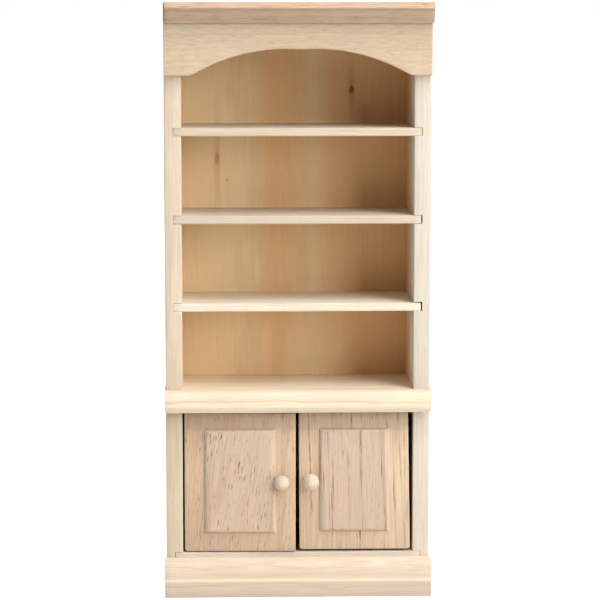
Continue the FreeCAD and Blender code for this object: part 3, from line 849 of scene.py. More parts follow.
    def ease(self, radius_mm: float, steps: int = 2, degrees: float = 40.0) -> None:
        """Takes the sharpness off every remaining corner, as sandpaper does.

        Args:
            radius_mm: The rounding's radius.
            steps: The number of facets.
            degrees: The least angle that counts as a corner.
        """
        self.activate()
        bpy.ops.object.modifier_add(type="BEVEL")
        bevel = self.thing.modifiers[-1]
        bevel.width = radius_mm * MM
        bevel.segments = steps
        bevel.limit_method = "ANGLE"
        bevel.angle_limit = math.radians(degrees)
        bpy.ops.object.modifier_apply(modifier=bevel.name)

    def waver(self, height_mm: float, length_mm: float = 9.0) -> None:
        """Lets the surface wander by a hair, as hand work does.

        Args:
            height_mm: How far the surface wanders.
            length_mm: The length of one wander.
        """
        clouds = bpy.data.textures.new(f"{self.thing.name}_waver", type="CLOUDS")
        clouds.noise_scale = length_mm * MM
        self.activate()
        bpy.ops.object.modifier_add(type="DISPLACE")
        shift = self.thing.modifiers[-1]
        shift.texture = clouds
        shift.texture_coords = "LOCAL"
        shift.direction = "NORMAL"
        shift.mid_level = 0.5
        shift.strength = height_mm * MM
        bpy.ops.object.modifier_apply(modifier=shift.name)
        bpy.data.textures.remove(clouds)

    def close(self, degrees: float = 35.0) -> None:
        """Merges doubles, points every face outwards and shades the rounded parts smoothly.

        Args:
            degrees: The least angle that counts as a corner.
        """
        with self.editing("VERT"):
            bpy.ops.mesh.select_all(action="SELECT")
            bpy.ops.mesh.remove_doubles(threshold=MERGE)
            bpy.ops.mesh.normals_make_consistent(inside=False)
        self.activate()
        bpy.ops.object.shade_smooth_by_angle(angle=math.radians(degrees))

    def hand_over(self, material: bpy.types.Material, body: Body, slot: Slot, *nodes: str) -> None:
        """Dresses the finished piece and fixes it to its body in place of its plain solids.

        Args:
            material: The finish.
            body: The body that it rides on.
            slot: The record's slot for its finish; not used.
            nodes: The solids of the frame that it stands for.
        """
        self.thing.data.materials.clear()
        self.thing.data.materials.append(material)
        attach(self.thing, body.value)
        if nodes:
            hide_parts(*nodes)
        LOG.info("%s: %d faces, rides on %s", self.thing.name, len(self.thing.data.polygons), body.value)


def at(value: float, place: float, slack_mm: float = 0.01) -> bool:
    """True if a coordinate lies at a place."""
    return abs(value - place) < slack_mm * MM


def arc(centre: tuple[float, float], radius: float, start: float, end: float, steps: int) -> list[Vector]:
    """Points on an arc in a profile.

    Args:
        centre: The arc's centre.
        radius: The arc's radius.
        start: The first point's angle in degrees.
        end: The last point's angle in degrees.
        steps: The number of chords.

    Returns:
        Steps + 1 points with X and Y as the profile's two coordinates.
    """
    angles = [math.radians(start + (end - start) * step / steps) for step in range(steps + 1)]
    return [Vector((centre[0] + radius * math.cos(a), centre[1] + radius * math.sin(a))) for a in angles]


# ------------------------------------------------------------------ woods
# Pale planed boards: cool straw, with long faint ring lines and hardly any pores.
PALE = BareWood(
    name="basswood_planed_pale", rings=0.7, pith_mm=(4.0, 42.0), ring_mm=2.1, fibres=0.12, pores=0.3,
    pore_share=0.3, pore_colour="#B79A78",
)
# The same with upright grain. The upper sides warm towards the back in broad soft patches, a painted warm
# shade deep inside the case.
UPPER_SIDE = replace(PALE, drift=0.9, drift_mm=(22.0, 240.0), shade_tint_lean=(0.0, 0.02))
SIDE_WOODS = {
    "upper_side_left": replace(
        UPPER_SIDE, name="basswood_upright_left", seed=1.3, early="#D8C8B2", late="#C6B195",
        drift_colour="#E3C19A"),
    "upper_side_right": replace(
        UPPER_SIDE, name="basswood_upright_right", seed=2.9, early="#D6CDC0", late="#C9BCAA",
        drift_colour="#E4BE95"),
    "lower_side_left": replace(
        PALE, name="basswood_foot_left", seed=4.1, early="#CEBEA7", late="#BCA88B", drift_colour="#D2C0AA"),
    "lower_side_right": replace(
        PALE, name="basswood_foot_right", seed=5.7, early="#D7CEBF", late="#C7BAA7", drift_colour="#D9CDBD"),
}
# The same lying level, so that the lines run from side to side.
LEVEL = replace(PALE, name="basswood_planed_level", grain=Grain.ACROSS, pith_mm=(30.0, 14.0))
SHELF_WOODS = {
    "shelf_lower": replace(
        LEVEL, name="basswood_shelf_lower", seed=7.3, early="#E8DDCC", late="#D8C7AD",
        drift_colour="#EADDCE"),
    "shelf_middle": replace(
        LEVEL, name="basswood_shelf_middle", seed=8.9, early="#D1C6B4", late="#C5AD94",
        drift_colour="#D2BEB0"),
    "shelf_top": replace(
        LEVEL, name="basswood_shelf_top", seed=9.4, early="#D4C6B1", late="#C5B198", drift_colour="#D6C7B5"),
    "bottom_board": replace(
        LEVEL, name="basswood_bottom_board", seed=10.8, early="#D5C9BC", late="#C2B29E",
        drift_colour="#D6C9BC"),
    "top_board": replace(
        LEVEL, name="basswood_top_board", seed=11.5, early="#E0D0B4", late="#CDB898", drift_colour="#E2D0B6"),
}
# Flat-sawn pine: wide peach arcs in cream, with painted shade under the nose.
COUNTER_WOOD = replace(
    LEVEL, name="pine_counter", early="#EEE0C8", late="#D0A281", drift_colour="#EBD1B8", seed=12.6,
    pith_mm=(9.0, 20.0), ring_mm=4.2, rings=0.5, wander_mm=2.4, fibres=0.09, pores=0.25,
    painted_light=((0.0, 0.78), (0.15, 0.80), (0.35, 0.97), (1.0, 1.0)),
)
# The base: greyer pine with closer arcs, darker towards the foot, with painted highlights on the ledge and on
# the quarter round at the top.
BASE_WOOD = replace(
    LEVEL, name="pine_base", early="#DED0BE", late="#C5A485", drift_colour="#DAC2AA", seed=14.2,
    pith_mm=(16.0, 24.0), ring_mm=2.6, rings=0.5, wander_mm=2.2, fibres=0.09, pores=0.25,
    painted_light=((0.0, 0.80), (0.2, 0.86), (0.40, 0.92), (0.44, 1.14), (0.475, 1.14),
          (0.51, 0.97), (0.62, 0.97), (0.75, 1.07), (0.9, 1.12), (1.0, 1.15)),
)
# A browner, open-pored strip: brown dashes along it, with painted shade in the cove under the lip and a
# painted highlight on the lip.
CROWN_WOOD = replace(
    LEVEL, name="jelutong_crown", early="#C8B197", late="#A98564", drift_colour="#C4A78D", seed=15.7,
    pith_mm=(12.0, 12.0), ring_mm=1.5, rings=0.5, pores=0.7, pore_share=0.4, pore_mm=(0.30, 5.0),
    pore_colour="#96694A", fibres=0.16, bump=0.4, fibre_mm=(0.3, 5.0),
    painted_light=((0.0, 0.74), (0.1, 0.74), (0.3, 0.80), (0.5, 0.88), (0.62, 0.82), (0.69, 0.95), (0.73, 1.1),
          (1.0, 1.1)),
)
# The valance: tan and plain, with short flecks, and painted shade darkening it towards the crown above it,
# where the crown's shadow falls.
VALANCE_WOOD = replace(
    LEVEL, name="jelutong_valance", early="#CAB79D", late="#B89B7C", drift_colour="#C9B099", seed=17.1,
    pith_mm=(30.0, 10.0), ring_mm=2.0, rings=0.3, pores=0.5, pore_share=0.4, pore_mm=(0.26, 2.2),
    pore_colour="#A98560", fibres=0.13, bump=0.35, fibre_mm=(0.3, 3.5),
    painted_light=((0.0, 1.05), (0.25, 1.03), (0.45, 0.96), (0.58, 0.89), (0.66, 0.82), (0.71, 0.74), (1.0, 0.74)),
)
# Thin ply with upright grain: warm honey, near-even, with two small knots and their long stains, and a deeper
# orange towards +X that is painted warm shade where the right side shadows the panel.
BACK_WOOD = BareWood(
    name="basswood_ply_back", early="#F6DEB4", late="#E4BF8E", drift_colour="#F0BF88", end_colour="#B08858",
    seed=19.3, pith_mm=(8.0, 60.0), ring_mm=7.0, rings=0.4, drift=0.7, drift_mm=(14.0, 200.0),
    fibres=0.045, wander_mm=3.0, shade_tint_lean=(0.011, 0.0), pores=0.12,
    pore_share=0.15, pore_colour="#9A6C40", bump=0.2,
    knots=(
        Knot(across=0.176, up=0.6025, radius_mm=1.05, length=2.8, heart="#C06C34", depth=0.62, tail=0.24),
        Knot(across=0.218, up=0.541, radius_mm=0.24, length=1.2, heart="#4A2A14", depth=0.9, tail=0.1),
        Knot(across=0.737, up=0.790, radius_mm=1.05, length=1.6, heart="#84401C", depth=0.85, tail=0.24),
    ),
)
# The lower panel keeps the same painted warm shade towards +X.
LOWER_BACK_WOOD = replace(BACK_WOOD, name="basswood_ply_back_lower", seed=20.6, knots=())
# The left door: pinkish tan with many open brown pores that slant a little, with painted shade across its top
# where the counter's shadow falls, and a touch darker at the foot.
LEFT_DOOR_WOOD = BareWood(
    name="paulownia_left_slab", early="#C7AF96", late="#B29375", drift_colour="#C9AC92", end_colour="#A8845F",
    seed=21.7, pith_mm=(10.0, 35.0), ring_mm=3.0, rings=0.6, fibres=0.15, pores=0.8, pore_share=0.42,
    pore_mm=(0.32, 3.2), pore_colour="#8E6546", lean_deg=-4.0, bump=0.28,
    painted_light=((0.0, 0.97), (0.08, 1.0), (0.84, 1.0), (0.89, 0.86), (1.0, 0.80)),
)
# Its field: a little paler, with longer and deeper pores that slant more.
LEFT_FIELD_WOOD = replace(
    LEFT_DOOR_WOOD, name="paulownia_left_field", seed=24.9, painted_light=(), lean_deg=-8.0, early="#CCB7A0",
    late="#B89A81", drift_colour="#CBAF97", pores=0.95, pore_mm=(0.34, 3.6),
)
# The right door: smoother, with upright red-brown streaks, and the left slab's painted shade across its top.
RIGHT_DOOR_WOOD = replace(
    LEFT_DOOR_WOOD, name="paulownia_right_slab", seed=27.3, lean_deg=1.5, early="#CDB69E", late="#B8987C",
    drift_colour="#CFBCA0", streaks=1.0, streak_mm=(0.75, 40.0), pores=0.45, pore_share=0.3,
    pore_colour="#875537",
)
# Its field: the same with fainter streaks.
RIGHT_FIELD_WOOD = replace(
    RIGHT_DOOR_WOOD, name="paulownia_right_field", seed=31.1, painted_light=(), early="#CCB8A2", late="#B79A82",
    drift_colour="#C9AF9A", streaks=0.85,
)
# Turned from a stick: ring lines wrap the ball, and cut end grain shows on its nose.
KNOB_WOOD = BareWood(
    name="birch_turned_knob", early="#D5CAB9", late="#BCA98C", drift_colour="#CEC0AA", end_colour="#E2D3B2",
    grain=Grain.BACKWARDS, pith_mm=(0.2, 0.15), ring_mm=0.5, rings=0.6, wander_mm=0.12, fibres=0.04,
    pores=0.2, pore_share=0.2, pore_mm=(0.12, 1.0), bump=0.35, seed=33.0,
)
# Bright pins and duller nail heads.
WIRE = DrawnSteel("steel_drawn_wire")
BRAD_STEEL = DrawnSteel("steel_brad_head", colour="#B4B1AA", dull="#7A7064")


# ------------------------------------------------------------------ boards
@dataclass
class Board:
    """A flat board with eased edges.

    Attributes:
        node: The frame's solid that it stands for, and its own name.
        wood: Its finish.
        along: The axis that it is long on, 0 for X and 2 for Z.
        slot: The record's slot for its finish.
        front_arris_mm: The rounding of its long front edges.
        ease_mm: The rounding of its other edges.
        waver_mm: How far its surface wanders.
        step_mm: The length between the cuts that let its edges bend.
    """

    node: str
    wood: BareWood
    along: int = 0
    slot: Slot = Slot.CASE_WOOD
    front_arris_mm: float = 0.3
    ease_mm: float = 0.1
    waver_mm: float = 0.06
    step_mm: float = 3.0

    def build(self) -> Workpiece:
        """Saws, slices and eases the board.

        Returns:
            The finished piece, not yet dressed.
        """
        low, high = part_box(self.node)
        piece = Workpiece.block(f"{self.node}_board", low, high)
        self.shape(piece, low, high)
        piece.close()
        return piece

    def shape(self, piece: Workpiece, low: Vector, high: Vector) -> None:
        """Rounds the two long front edges, eases the rest and lets the surface wander.

        Args:
            piece: The piece on the bench.
            low: The board's lowest corner.
            high: The board's highest corner.
        """
        self.round_front(piece, low)
        piece.ease(self.ease_mm)
        piece.slice_evenly(self.along, self.step_mm)
        piece.waver(self.waver_mm)

    def round_front(self, piece: Workpiece, low: Vector) -> None:
        """Rounds the long edges of the front face.

        Args:
            piece: The piece on the bench.
            low: The board's lowest corner.
        """
        other = 2 - self.along
        piece.round_edges(
            self.front_arris_mm, 4,
            lambda a, b: at(a.y, low.y) and at(b.y, low.y) and at(a[other], b[other]))

    def dress(self, piece: Workpiece) -> None:
        """Gives the board its wood and fixes it to the case."""
        low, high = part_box(self.node)
        piece.hand_over(self.wood.make(low, high), Body.CASE, self.slot, self.node)


@dataclass
class SideBoard(Board):
    """An upright side, grooved for the boards let into it and rebated behind for a back panel.

    Attributes:
        inside: The direction of its inner face, 1 towards +X.
        let_in: The boards that its grooves hold, each with the gaps below it, above it and past its end
            in millimetres.
        panel: The back panel that lies in its ledge.
        groove_mm: The depth of the grooves.
        ledge_mm: The width of the ledge.
    """

    inside: int = 1
    let_in: dict[str, tuple[float, float, float]] = field(default_factory=dict)
    panel: str = ""
    along: int = 2
    groove_mm: float = 2.4
    ledge_mm: float = 2.5

    def shape(self, piece: Workpiece, low: Vector, high: Vector) -> None:
        """Rounds the front edges, cuts the grooves and the ledge, and lets the surface wander.

        Args:
            piece: The piece on the bench.
            low: The board's lowest corner.
            high: The board's highest corner.
        """
        self.round_front(piece, low)
        piece.ease(self.ease_mm)
        face = high.x if self.inside > 0 else low.x
        tools = []
        for name, (under, over, deeper) in self.let_in.items():
            board_low, board_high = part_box(name)
            tools.append(self._tool(face, self.groove_mm + deeper, low.y - MM, high.y + MM,
                                    board_low.z - under * MM, board_high.z + over * MM))
        panel_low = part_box(self.panel)[0]
        tools.append(self._tool(face, self.ledge_mm, panel_low.y, high.y + MM, low.z - MM, high.z + MM))
        piece.cut_away(tools)
        piece.waver(self.waver_mm)

    def _tool(self, face: float, depth_mm: float, front: float, back: float, bottom: float,
              top: float) -> Workpiece:
        """A block that cuts a groove into the inner face.

        Args:
            face: The X of the inner face.
            depth_mm: The groove's depth.
            front: Its lowest Y.
            back: Its highest Y.
            bottom: Its lowest Z.
            top: Its highest Z.

        Returns:
            The block.
        """
        bottom_of_groove = face - self.inside * depth_mm * MM
        proud = face + self.inside * MM
        low = Vector((min(bottom_of_groove, proud), front, bottom))
        high = Vector((max(bottom_of_groove, proud), back, top))
        return Workpiece.block("groove_tool", low, high)


@dataclass
class Counter(Board):
    """The thick board over the cupboard, with a round nose.

    Attributes:
        nose_top_mm: The rounding above its front edge.
        nose_bottom_mm: The rounding below its front edge.
        corner_mm: The rounding of its lower right front corner.
    """

    nose_top_mm: float = 1.7
    nose_bottom_mm: float = 2.6
    corner_mm: float = 1.0
    ease_mm: float = 0.15

    def shape(self, piece: Workpiece, low: Vector, high: Vector) -> None:
        """Rounds the nose and lets it wander.

        Args:
            piece: The piece on the bench.
            low: The board's lowest corner.
            high: The board's highest corner.
        """
        piece.round_edges(self.corner_mm, 4, lambda a, b: at(a.x, high.x) and at(b.x, high.x)
                          and at(a.z, low.z) and at(b.z, low.z))
        piece.round_edges(self.nose_top_mm, 6, lambda a, b: at(a.y, low.y) and at(b.y, low.y)
                          and at(a.z, high.z) and at(b.z, high.z))
        piece.round_edges(self.nose_bottom_mm, 8, lambda a, b: at(a.y, low.y) and at(b.y, low.y)
                          and at(a.z, low.z) and at(b.z, low.z))
        piece.ease(self.ease_mm)
        piece.slice_evenly(0, self.step_mm)
        piece.waver(self.waver_mm)


@dataclass
class BackPanel(Board):
    """A thin panel behind the case, counterbored for the heads of its brads.

    Attributes:
        hole_radius_mm: The counterbores' radius.
        hole_depth_mm: The counterbores' depth.
    """

    hole_radius_mm: float = 0.74
    hole_depth_mm: float = 0.35
    slot: Slot = Slot.BACK_WOOD

    def shape(self, piece: Workpiece, low: Vector, high: Vector) -> None:
        """Eases the edges and sinks a counterbore for each head.

        Args:
            piece: The piece on the bench.
            low: The board's lowest corner.
            high: The board's highest corner.
        """
        piece.ease(self.ease_mm)
        tools = []
        for x, z in brad_spots():
            if low.z < z < high.z:
                start = Vector((x, high.y - self.hole_depth_mm * MM, z))
                end = start + Vector((0, MM, 0))
                tools.append(Workpiece.rod("hole_tool", self.hole_radius_mm * MM, start, end))
        piece.cut_away(tools)


def brad_spots() -> list[tuple[float, float]]:
    """The X and Z of each brad's middle, read from the group of brads in the frame.

    Returns:
        The spots.
    """
    band, gap = 5 * MM, 4 * MM
    heads: dict[tuple[int, int], list[Vector]] = {}
    for vert in frame["nodes"]["back_brads"].data.vertices:
        key = (round(math.copysign(1, vert.co.x)), round(vert.co.z / band))
        heads.setdefault(key, []).append(vert.co)
    merged: list[list[Vector]] = []
    for key in sorted(heads):
        points = heads[key]
        if merged and merged[-1][0].x * points[0].x > 0 and abs(merged[-1][0].z - points[0].z) < gap:
            merged[-1].extend(points)
        else:
            merged.append(list(points))
    spots = []
    for points in merged:
        xs = [point.x for point in points]
        zs = [point.z for point in points]
        spots.append(((min(xs) + max(xs)) / 2, (min(zs) + max(zs)) / 2))
    return spots


# ------------------------------------------------------------------ front mouldings
@dataclass
class Valance(Board):
    """The arched board under the crown.

    Attributes:
        foot_mm: The width of each foot, with the arch centred.
        rise_mm: The arch's height above the feet.
        flat_mm: The straight middle of the arch.
        shift_mm: The arch's middle, right of the board's.
        dip_mm: How far the middle of the arch hangs down.
        arris_mm: The rounding of the lower front edge.
        soften_mm: How softly the arch runs out into the feet.
        columns: The number of strips that the arch is laid out in.
    """

    foot_mm: float = 7.1
    rise_mm: float = 7.8
    flat_mm: float = 8.0
    shift_mm: float = 0.9
    dip_mm: float = 0.15
    arris_mm: float = 0.45
    soften_mm: float = 0.25
    columns: int = 120

    def height(self, x_mm: float, width_mm: float) -> float:
        """The arch's height above the feet at x_mm from the board's middle, in millimetres.

        Args:
            x_mm: The place, from the board's middle.
            width_mm: The board's width.

        Returns:
            The height in millimetres.
        """
        span = width_mm - 2 * self.foot_mm
        away = abs(x_mm - self.shift_mm)
        reach = (span - self.flat_mm) / 2
        radius = (reach ** 2 + self.rise_mm ** 2) / (2 * self.rise_mm)
        beyond = max(0.0, away - self.flat_mm / 2)
        curve = self.rise_mm - radius + math.sqrt(max(radius ** 2 - beyond ** 2, 0.0))
        curve -= self.dip_mm * math.exp(-(away / 3.0) ** 2)
        return 0.5 * (curve + math.sqrt(curve ** 2 + self.soften_mm ** 2))

    def build(self) -> Workpiece:
        """Lays out the board's face as a grid, lifts its lower edge to the arch and gives it thickness.

        Returns:
            The finished piece, not yet dressed.
        """
        low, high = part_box(self.node)
        size = high - low
        piece = Workpiece.sheet(f"{self.node}_board", low, high, self.columns)
        middle = (low.x + high.x) / 2
        with piece.editing("VERT"):
            for column in range(self.columns + 1):
                x = low.x + size.x * column / self.columns
                lift = self.height((x - middle) / MM, size.x / MM) * MM
                bpy.ops.mesh.select_all(action="DESELECT")
                piece.pick_points(lambda p, x=x: at(p.x, x, 0.05) and at(p.z, low.z))
                bpy.ops.transform.translate(value=(0.0, 0.0, lift))
            bpy.ops.mesh.select_all(action="SELECT")
            bpy.ops.mesh.extrude_region_move(TRANSFORM_OT_translate={"value": (0.0, size.y, 0.0)})
        arch_top = low.z + (self.rise_mm + 0.5) * MM
        piece.round_edges(
            self.arris_mm, 4,
            lambda a, b: at(a.y, low.y) and at(b.y, low.y) and a.z < arch_top and b.z < arch_top
            and abs(a.x - b.x) > 0.3 * MM and self._on_arch(a, low, size) and self._on_arch(b, low, size))
        piece.ease(self.ease_mm)
        piece.waver(self.waver_mm)
        piece.close(50.0)
        return piece

    def _on_arch(self, point: Vector, low: Vector, size: Vector) -> bool:
        """True if a point lies on the board's lower edge."""
        x_mm = (point.x - low.x - size.x / 2) / MM
        return abs(point.z - low.z - self.height(x_mm, size.x / MM) * MM) < 0.03 * MM


@dataclass
class Moulding(Board):
    """A strip of one profile along the front.

    The profile's points go round from the top of the strip's back edge: the first coordinate is the
    distance in front of the back and the second the height above the foot, both in metres.
    """

    def profile(self, depth: float, height: float) -> list[Vector]:
        """The outline of the strip's end, from its back top corner to its back bottom corner."""
        raise NotImplementedError

    def build(self) -> Workpiece:
        """Extrudes the profile edge by edge from the strip's back, and closes the ends.

        Returns:
            The finished piece, not yet dressed.
        """
        low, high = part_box(self.node)
        size = high - low
        back = Vector((0.0, size.y, 0.0))
        piece = Workpiece.sheet(f"{self.node}_strip", low + back, high + back)
        path = self.profile(size.y, size.z)
        with piece.editing("EDGE"):
            piece.pick_edges(lambda a, b: at(a.z, high.z) and at(b.z, high.z))
            for start, end in zip(path, path[1:]):
                step = end - start
                bpy.ops.mesh.extrude_edges_move(TRANSFORM_OT_translate={"value": (0.0, -step.x, step.y)})
            bpy.ops.mesh.select_mode(type="VERT")
            bpy.ops.mesh.select_all(action="SELECT")
            bpy.ops.mesh.remove_doubles(threshold=SEAM)
            bpy.ops.mesh.select_mode(type="EDGE")
            for end in (low.x, high.x):
                bpy.ops.mesh.select_all(action="DESELECT")
                piece.pick_edges(lambda a, b, end=end: at(a.x, end) and at(b.x, end))
                bpy.ops.mesh.edge_face_add()
            bpy.ops.mesh.select_all(action="SELECT")
            bpy.ops.mesh.normals_make_consistent(inside=False)
        piece.ease(self.ease_mm, degrees=60.0)
        piece.slice_evenly(0, self.step_mm)
        piece.waver(self.waver_mm)
        piece.close()
        return piece


@dataclass
class Crown(Moulding):
    """An upper lip over a hollow cove.

    Attributes:
        lip_mm: The lip's height.
        step_back_mm: How far the cove starts behind the lip.
        foot_mm: The thickness left at the foot.
        hollow_mm: The radius of the cove.
        arris_mm: The rounding of the lip's two edges.
    """

    lip_mm: float = 1.85
    step_back_mm: float = 0.4
    foot_mm: float = 0.5
    hollow_mm: float = 4.6
    arris_mm: float = 0.3

    def profile(self, depth: float, height: float) -> list[Vector]:
        """The outline: top, rounded lip, step, cove and foot.

        Args:
            depth: The strip's depth.
            height: The strip's height.

        Returns:
            The outline's points.
        """
        lip = height - self.lip_mm * MM
        ease = self.arris_mm * MM
        start = Vector((depth - self.step_back_mm * MM, lip))
        end = Vector((self.foot_mm * MM, 0.0))
        points = [Vector((0.0, height))]
        points += arc((depth - ease, height - ease), ease, 90, 0, 4)
        points += arc((depth - ease, lip + ease), ease, 0, -90, 4)
        points += self._hollow(start, end)
        points.append(Vector((0.0, 0.0)))
        return points

    def _hollow(self, start: Vector, end: Vector) -> list[Vector]:
        """The cove from the lip's underside down to the foot, sunk into the wood.

        Args:
            start: The first end.
            end: The other end.

        Returns:
            The cove's points.
        """
        chord = end - start
        out = Vector((-chord.y, chord.x)).normalized()
        radius = self.hollow_mm * MM
        centre = (start + end) / 2 + out * math.sqrt(radius ** 2 - (chord.length / 2) ** 2)
        first = math.degrees(math.atan2(start.y - centre.y, start.x - centre.x))
        last = math.degrees(math.atan2(end.y - centre.y, end.x - centre.x))
        if last - first > 180:
            last -= 360
        if last - first < -180:
            last += 360
        return arc((centre.x, centre.y), radius, first, last, 14)


@dataclass
class Base(Moulding):
    """A quarter round over a plinth.

    Attributes:
        plinth_mm: The plinth's height.
        set_back_mm: How far the upper band lies behind the plinth.
        round_mm: The quarter round at the top.
        arris_mm: The rounding of the plinth's upper edge.
        foot_mm: The rounding of its lower edge.
    """

    plinth_mm: float = 5.3
    set_back_mm: float = 0.8
    round_mm: float = 2.8
    arris_mm: float = 0.5
    foot_mm: float = 0.15

    def profile(self, depth: float, height: float) -> list[Vector]:
        """The outline: quarter round, upper band, ledge and plinth.

        Args:
            depth: The strip's depth.
            height: The strip's height.

        Returns:
            The outline's points.
        """
        band = depth - self.set_back_mm * MM
        ledge = self.plinth_mm * MM
        big = self.round_mm * MM
        small = self.arris_mm * MM
        foot = self.foot_mm * MM
        points = [Vector((0.0, height))]
        points += arc((band - big, height - big), big, 90, 0, 10)
        points.append(Vector((band, ledge)))
        points += arc((depth - small, ledge - small), small, 90, 0, 5)
        points += arc((depth - foot, foot), foot, 0, -90, 2)
        points.append(Vector((0.0, 0.0)))
        return points


# ------------------------------------------------------------------ doors
# A raised field's slope, from its rim to a little past its flat: the share of the slope's width
# covered, and the share of its height reached there, rounding over like a cutter's sweep.
FIELD_SLOPE = ((0.12, 0.22), (0.3, 0.48), (0.5, 0.70), (0.7, 0.86), (0.87, 0.96), (1.0, 1.0), (1.25, 1.0))


@dataclass
class Door:
    """One cupboard door: a slab on two pins, a raised field and a turned knob.

    The door is made shut and then swung to where it stands at rest.

    Attributes:
        side: Left or right.
        body: The body that its pieces ride on.
        slab_wood: The slab's finish.
        field_wood: The raised field's finish.
        corner_mm: The rounding of the lower corner at the free edge.
        foot_corner_mm: The rounding of the lower corner at the hinge edge.
        taper_mm: How much narrower the top is at the hinge edge.
        foot_taper_mm: How much narrower the foot is at the free edge.
        slope_side_mm: The width of the field's left and right slopes.
        slope_end_mm: The width of its top and bottom slopes.
        hole_mm: The radius and depth of the holes for the pins.
        knob_radius_mm: The knob's radius.
        front_arris_mm: The rounding of the slab's front edges.
        ease_mm: The rounding of its other edges.
        step_mm: The length between the cuts that let it bend.
        waver_mm: How far its surface wanders.
        field_corner_mm: The rounding of the field's four corners.
        rim_share: The height of the field's upright rim, as a share of the field's thickness.
        peg_mm: The radius of the knob's peg.
    """

    side: str
    body: Body
    slab_wood: BareWood
    field_wood: BareWood
    corner_mm: float = 0.7
    foot_corner_mm: float = 0.8
    taper_mm: float = 0.0
    foot_taper_mm: float = 0.0
    slope_side_mm: float = 1.8
    slope_end_mm: float = 1.0
    hole_mm: tuple[float, float] = (0.55, 2.9)
    knob_radius_mm: float = 2.25
    front_arris_mm: float = 0.25
    ease_mm: float = 0.12
    step_mm: float = 3.0
    waver_mm: float = 0.07
    field_corner_mm: float = 0.35
    rim_share: float = 0.10
    peg_mm: float = 0.8

    def joint(self) -> dict:
        """The frame's hinge that the door turns on."""
        return next(item for item in frame["joints"] if item["child"] == self.body.value)

    def swing(self) -> Matrix:
        """The turn from shut to where the door stands at rest.

        Returns:
            The turn.
        """
        joint = self.joint()
        pin = Vector(joint["pos_m"])
        low = joint["range_deg"][0]
        turn = Matrix.Rotation(math.radians(-low), 4, Vector(joint["axis"]))
        return Matrix.Translation(pin) @ turn @ Matrix.Translation(-pin)

    def shut_box(self, node: str) -> tuple[Vector, Vector]:
        """The lowest and highest corner of one of the door's solids with the door shut.

        Args:
            node: The frame's solid.

        Returns:
            The two corners.
        """
        back = self.swing().inverted()
        points = [back @ vert.co for vert in frame["nodes"][node].data.vertices]
        return (Vector(min(point[axis] for point in points) for axis in range(3)),
                Vector(max(point[axis] for point in points) for axis in range(3)))

    def hang(self, piece: Workpiece, wood: BareWood, slot: Slot, node: str) -> None:
        """Swings a finished piece to its place, dresses it and fixes it to the door.

        Args:
            piece: The piece on the bench.
            wood: The finish.
            slot: The record's slot for the finish.
            node: The frame's solid.
        """
        low, high = self.shut_box(node)
        piece.thing.matrix_world = self.swing()
        piece.activate()
        bpy.ops.object.transform_apply(location=True, rotation=True, scale=True)
        piece.hand_over(wood.make(low, high), self.body, slot, node)

    def build_slab(self) -> Workpiece:
        """The slab, with eased edges, rounded lower corners and a hole for each pin.

        Returns:
            The slab, shut.
        """
        node = f"door_{self.side}"
        low, high = self.shut_box(node)
        piece = Workpiece.block(f"{node}_slab", low, high)
        hinge, free = (low.x, high.x) if self.side == "left" else (high.x, low.x)
        inward = 1 if free > hinge else -1
        if self.foot_taper_mm:
            piece.move_points(Vector((-inward * self.foot_taper_mm * MM, 0, 0)),
                              lambda p: at(p.x, free) and at(p.z, low.z))
        if self.taper_mm:
            piece.move_points(Vector((inward * self.taper_mm * MM, 0, 0)),
                              lambda p: at(p.x, hinge) and at(p.z, high.z))
        middle = (low.x + high.x) / 2
        for radius, is_hinge in ((self.corner_mm, False), (self.foot_corner_mm, True)):
            piece.round_edges(
                radius, 6,
                lambda a, b, is_hinge=is_hinge: at(a.z, low.z) and at(b.z, low.z) and at(a.x, b.x)
                and ((a.x - middle) * inward < 0) == is_hinge)
        piece.round_edges(self.front_arris_mm, 4, lambda a, b: at(a.y, low.y) and at(b.y, low.y))
        piece.ease(self.ease_mm)
        piece.slice_evenly(2, self.step_mm)
        piece.waver(self.waver_mm)
        pin = Vector(self.joint()["pos_m"])
        radius, depth = self.hole_mm[0] * MM, self.hole_mm[1] * MM
        tools = []
        for end, into in ((low.z, 1), (high.z, -1)):
            start = Vector((pin.x, pin.y, end - into * MM))
            stop = Vector((pin.x, pin.y, end + into * depth))
            tools.append(Workpiece.rod("pin_tool", radius, start, stop, 24))
        piece.cut_away(tools)
        piece.close()
        return piece

    def build_field(self) -> Workpiece:
        """The raised field: a thin board whose edges slope up to a flat middle.

        Returns:
            The field, shut.
        """
        node = f"door_panel_{self.side}"
        low, high = self.shut_box(node)
        size = high - low
        piece = Workpiece.block(f"{node}_field", low, high)
        rim = self.rim_share * size.y
        piece.move_points(Vector((0.0, size.y - rim, 0.0)), lambda p: at(p.y, low.y))
        done_across, done_up = 0.0, 0.0
        middle = (low + high) / 2
        with piece.editing("FACE"):
            piece.pick_faces(lambda centre, normal: normal.y < -0.9)
            for across, up in FIELD_SLOPE:
                wide = size.x - 2 * self.slope_side_mm * MM * done_across
                tall = size.z - 2 * self.slope_end_mm * MM * done_across
                new_wide = size.x - 2 * self.slope_side_mm * MM * across
                new_tall = size.z - 2 * self.slope_end_mm * MM * across
                rise = (size.y - rim) * (min(up, 1.0) - done_up)
                bpy.ops.mesh.extrude_region_move(TRANSFORM_OT_translate={"value": (0.0, -rise, 0.0)})
                bpy.ops.transform.resize(
                    value=(new_wide / wide, 1.0, new_tall / tall), center_override=middle)
                done_across, done_up = across, min(up, 1.0)
        rim_top = high.y - rim - 0.01 * MM
        piece.round_edges(
            self.field_corner_mm, 3,
            lambda a, b: at(a.x, b.x) and at(a.z, b.z) and a.y > rim_top and b.y > rim_top)
        piece.close(50.0)
        return piece

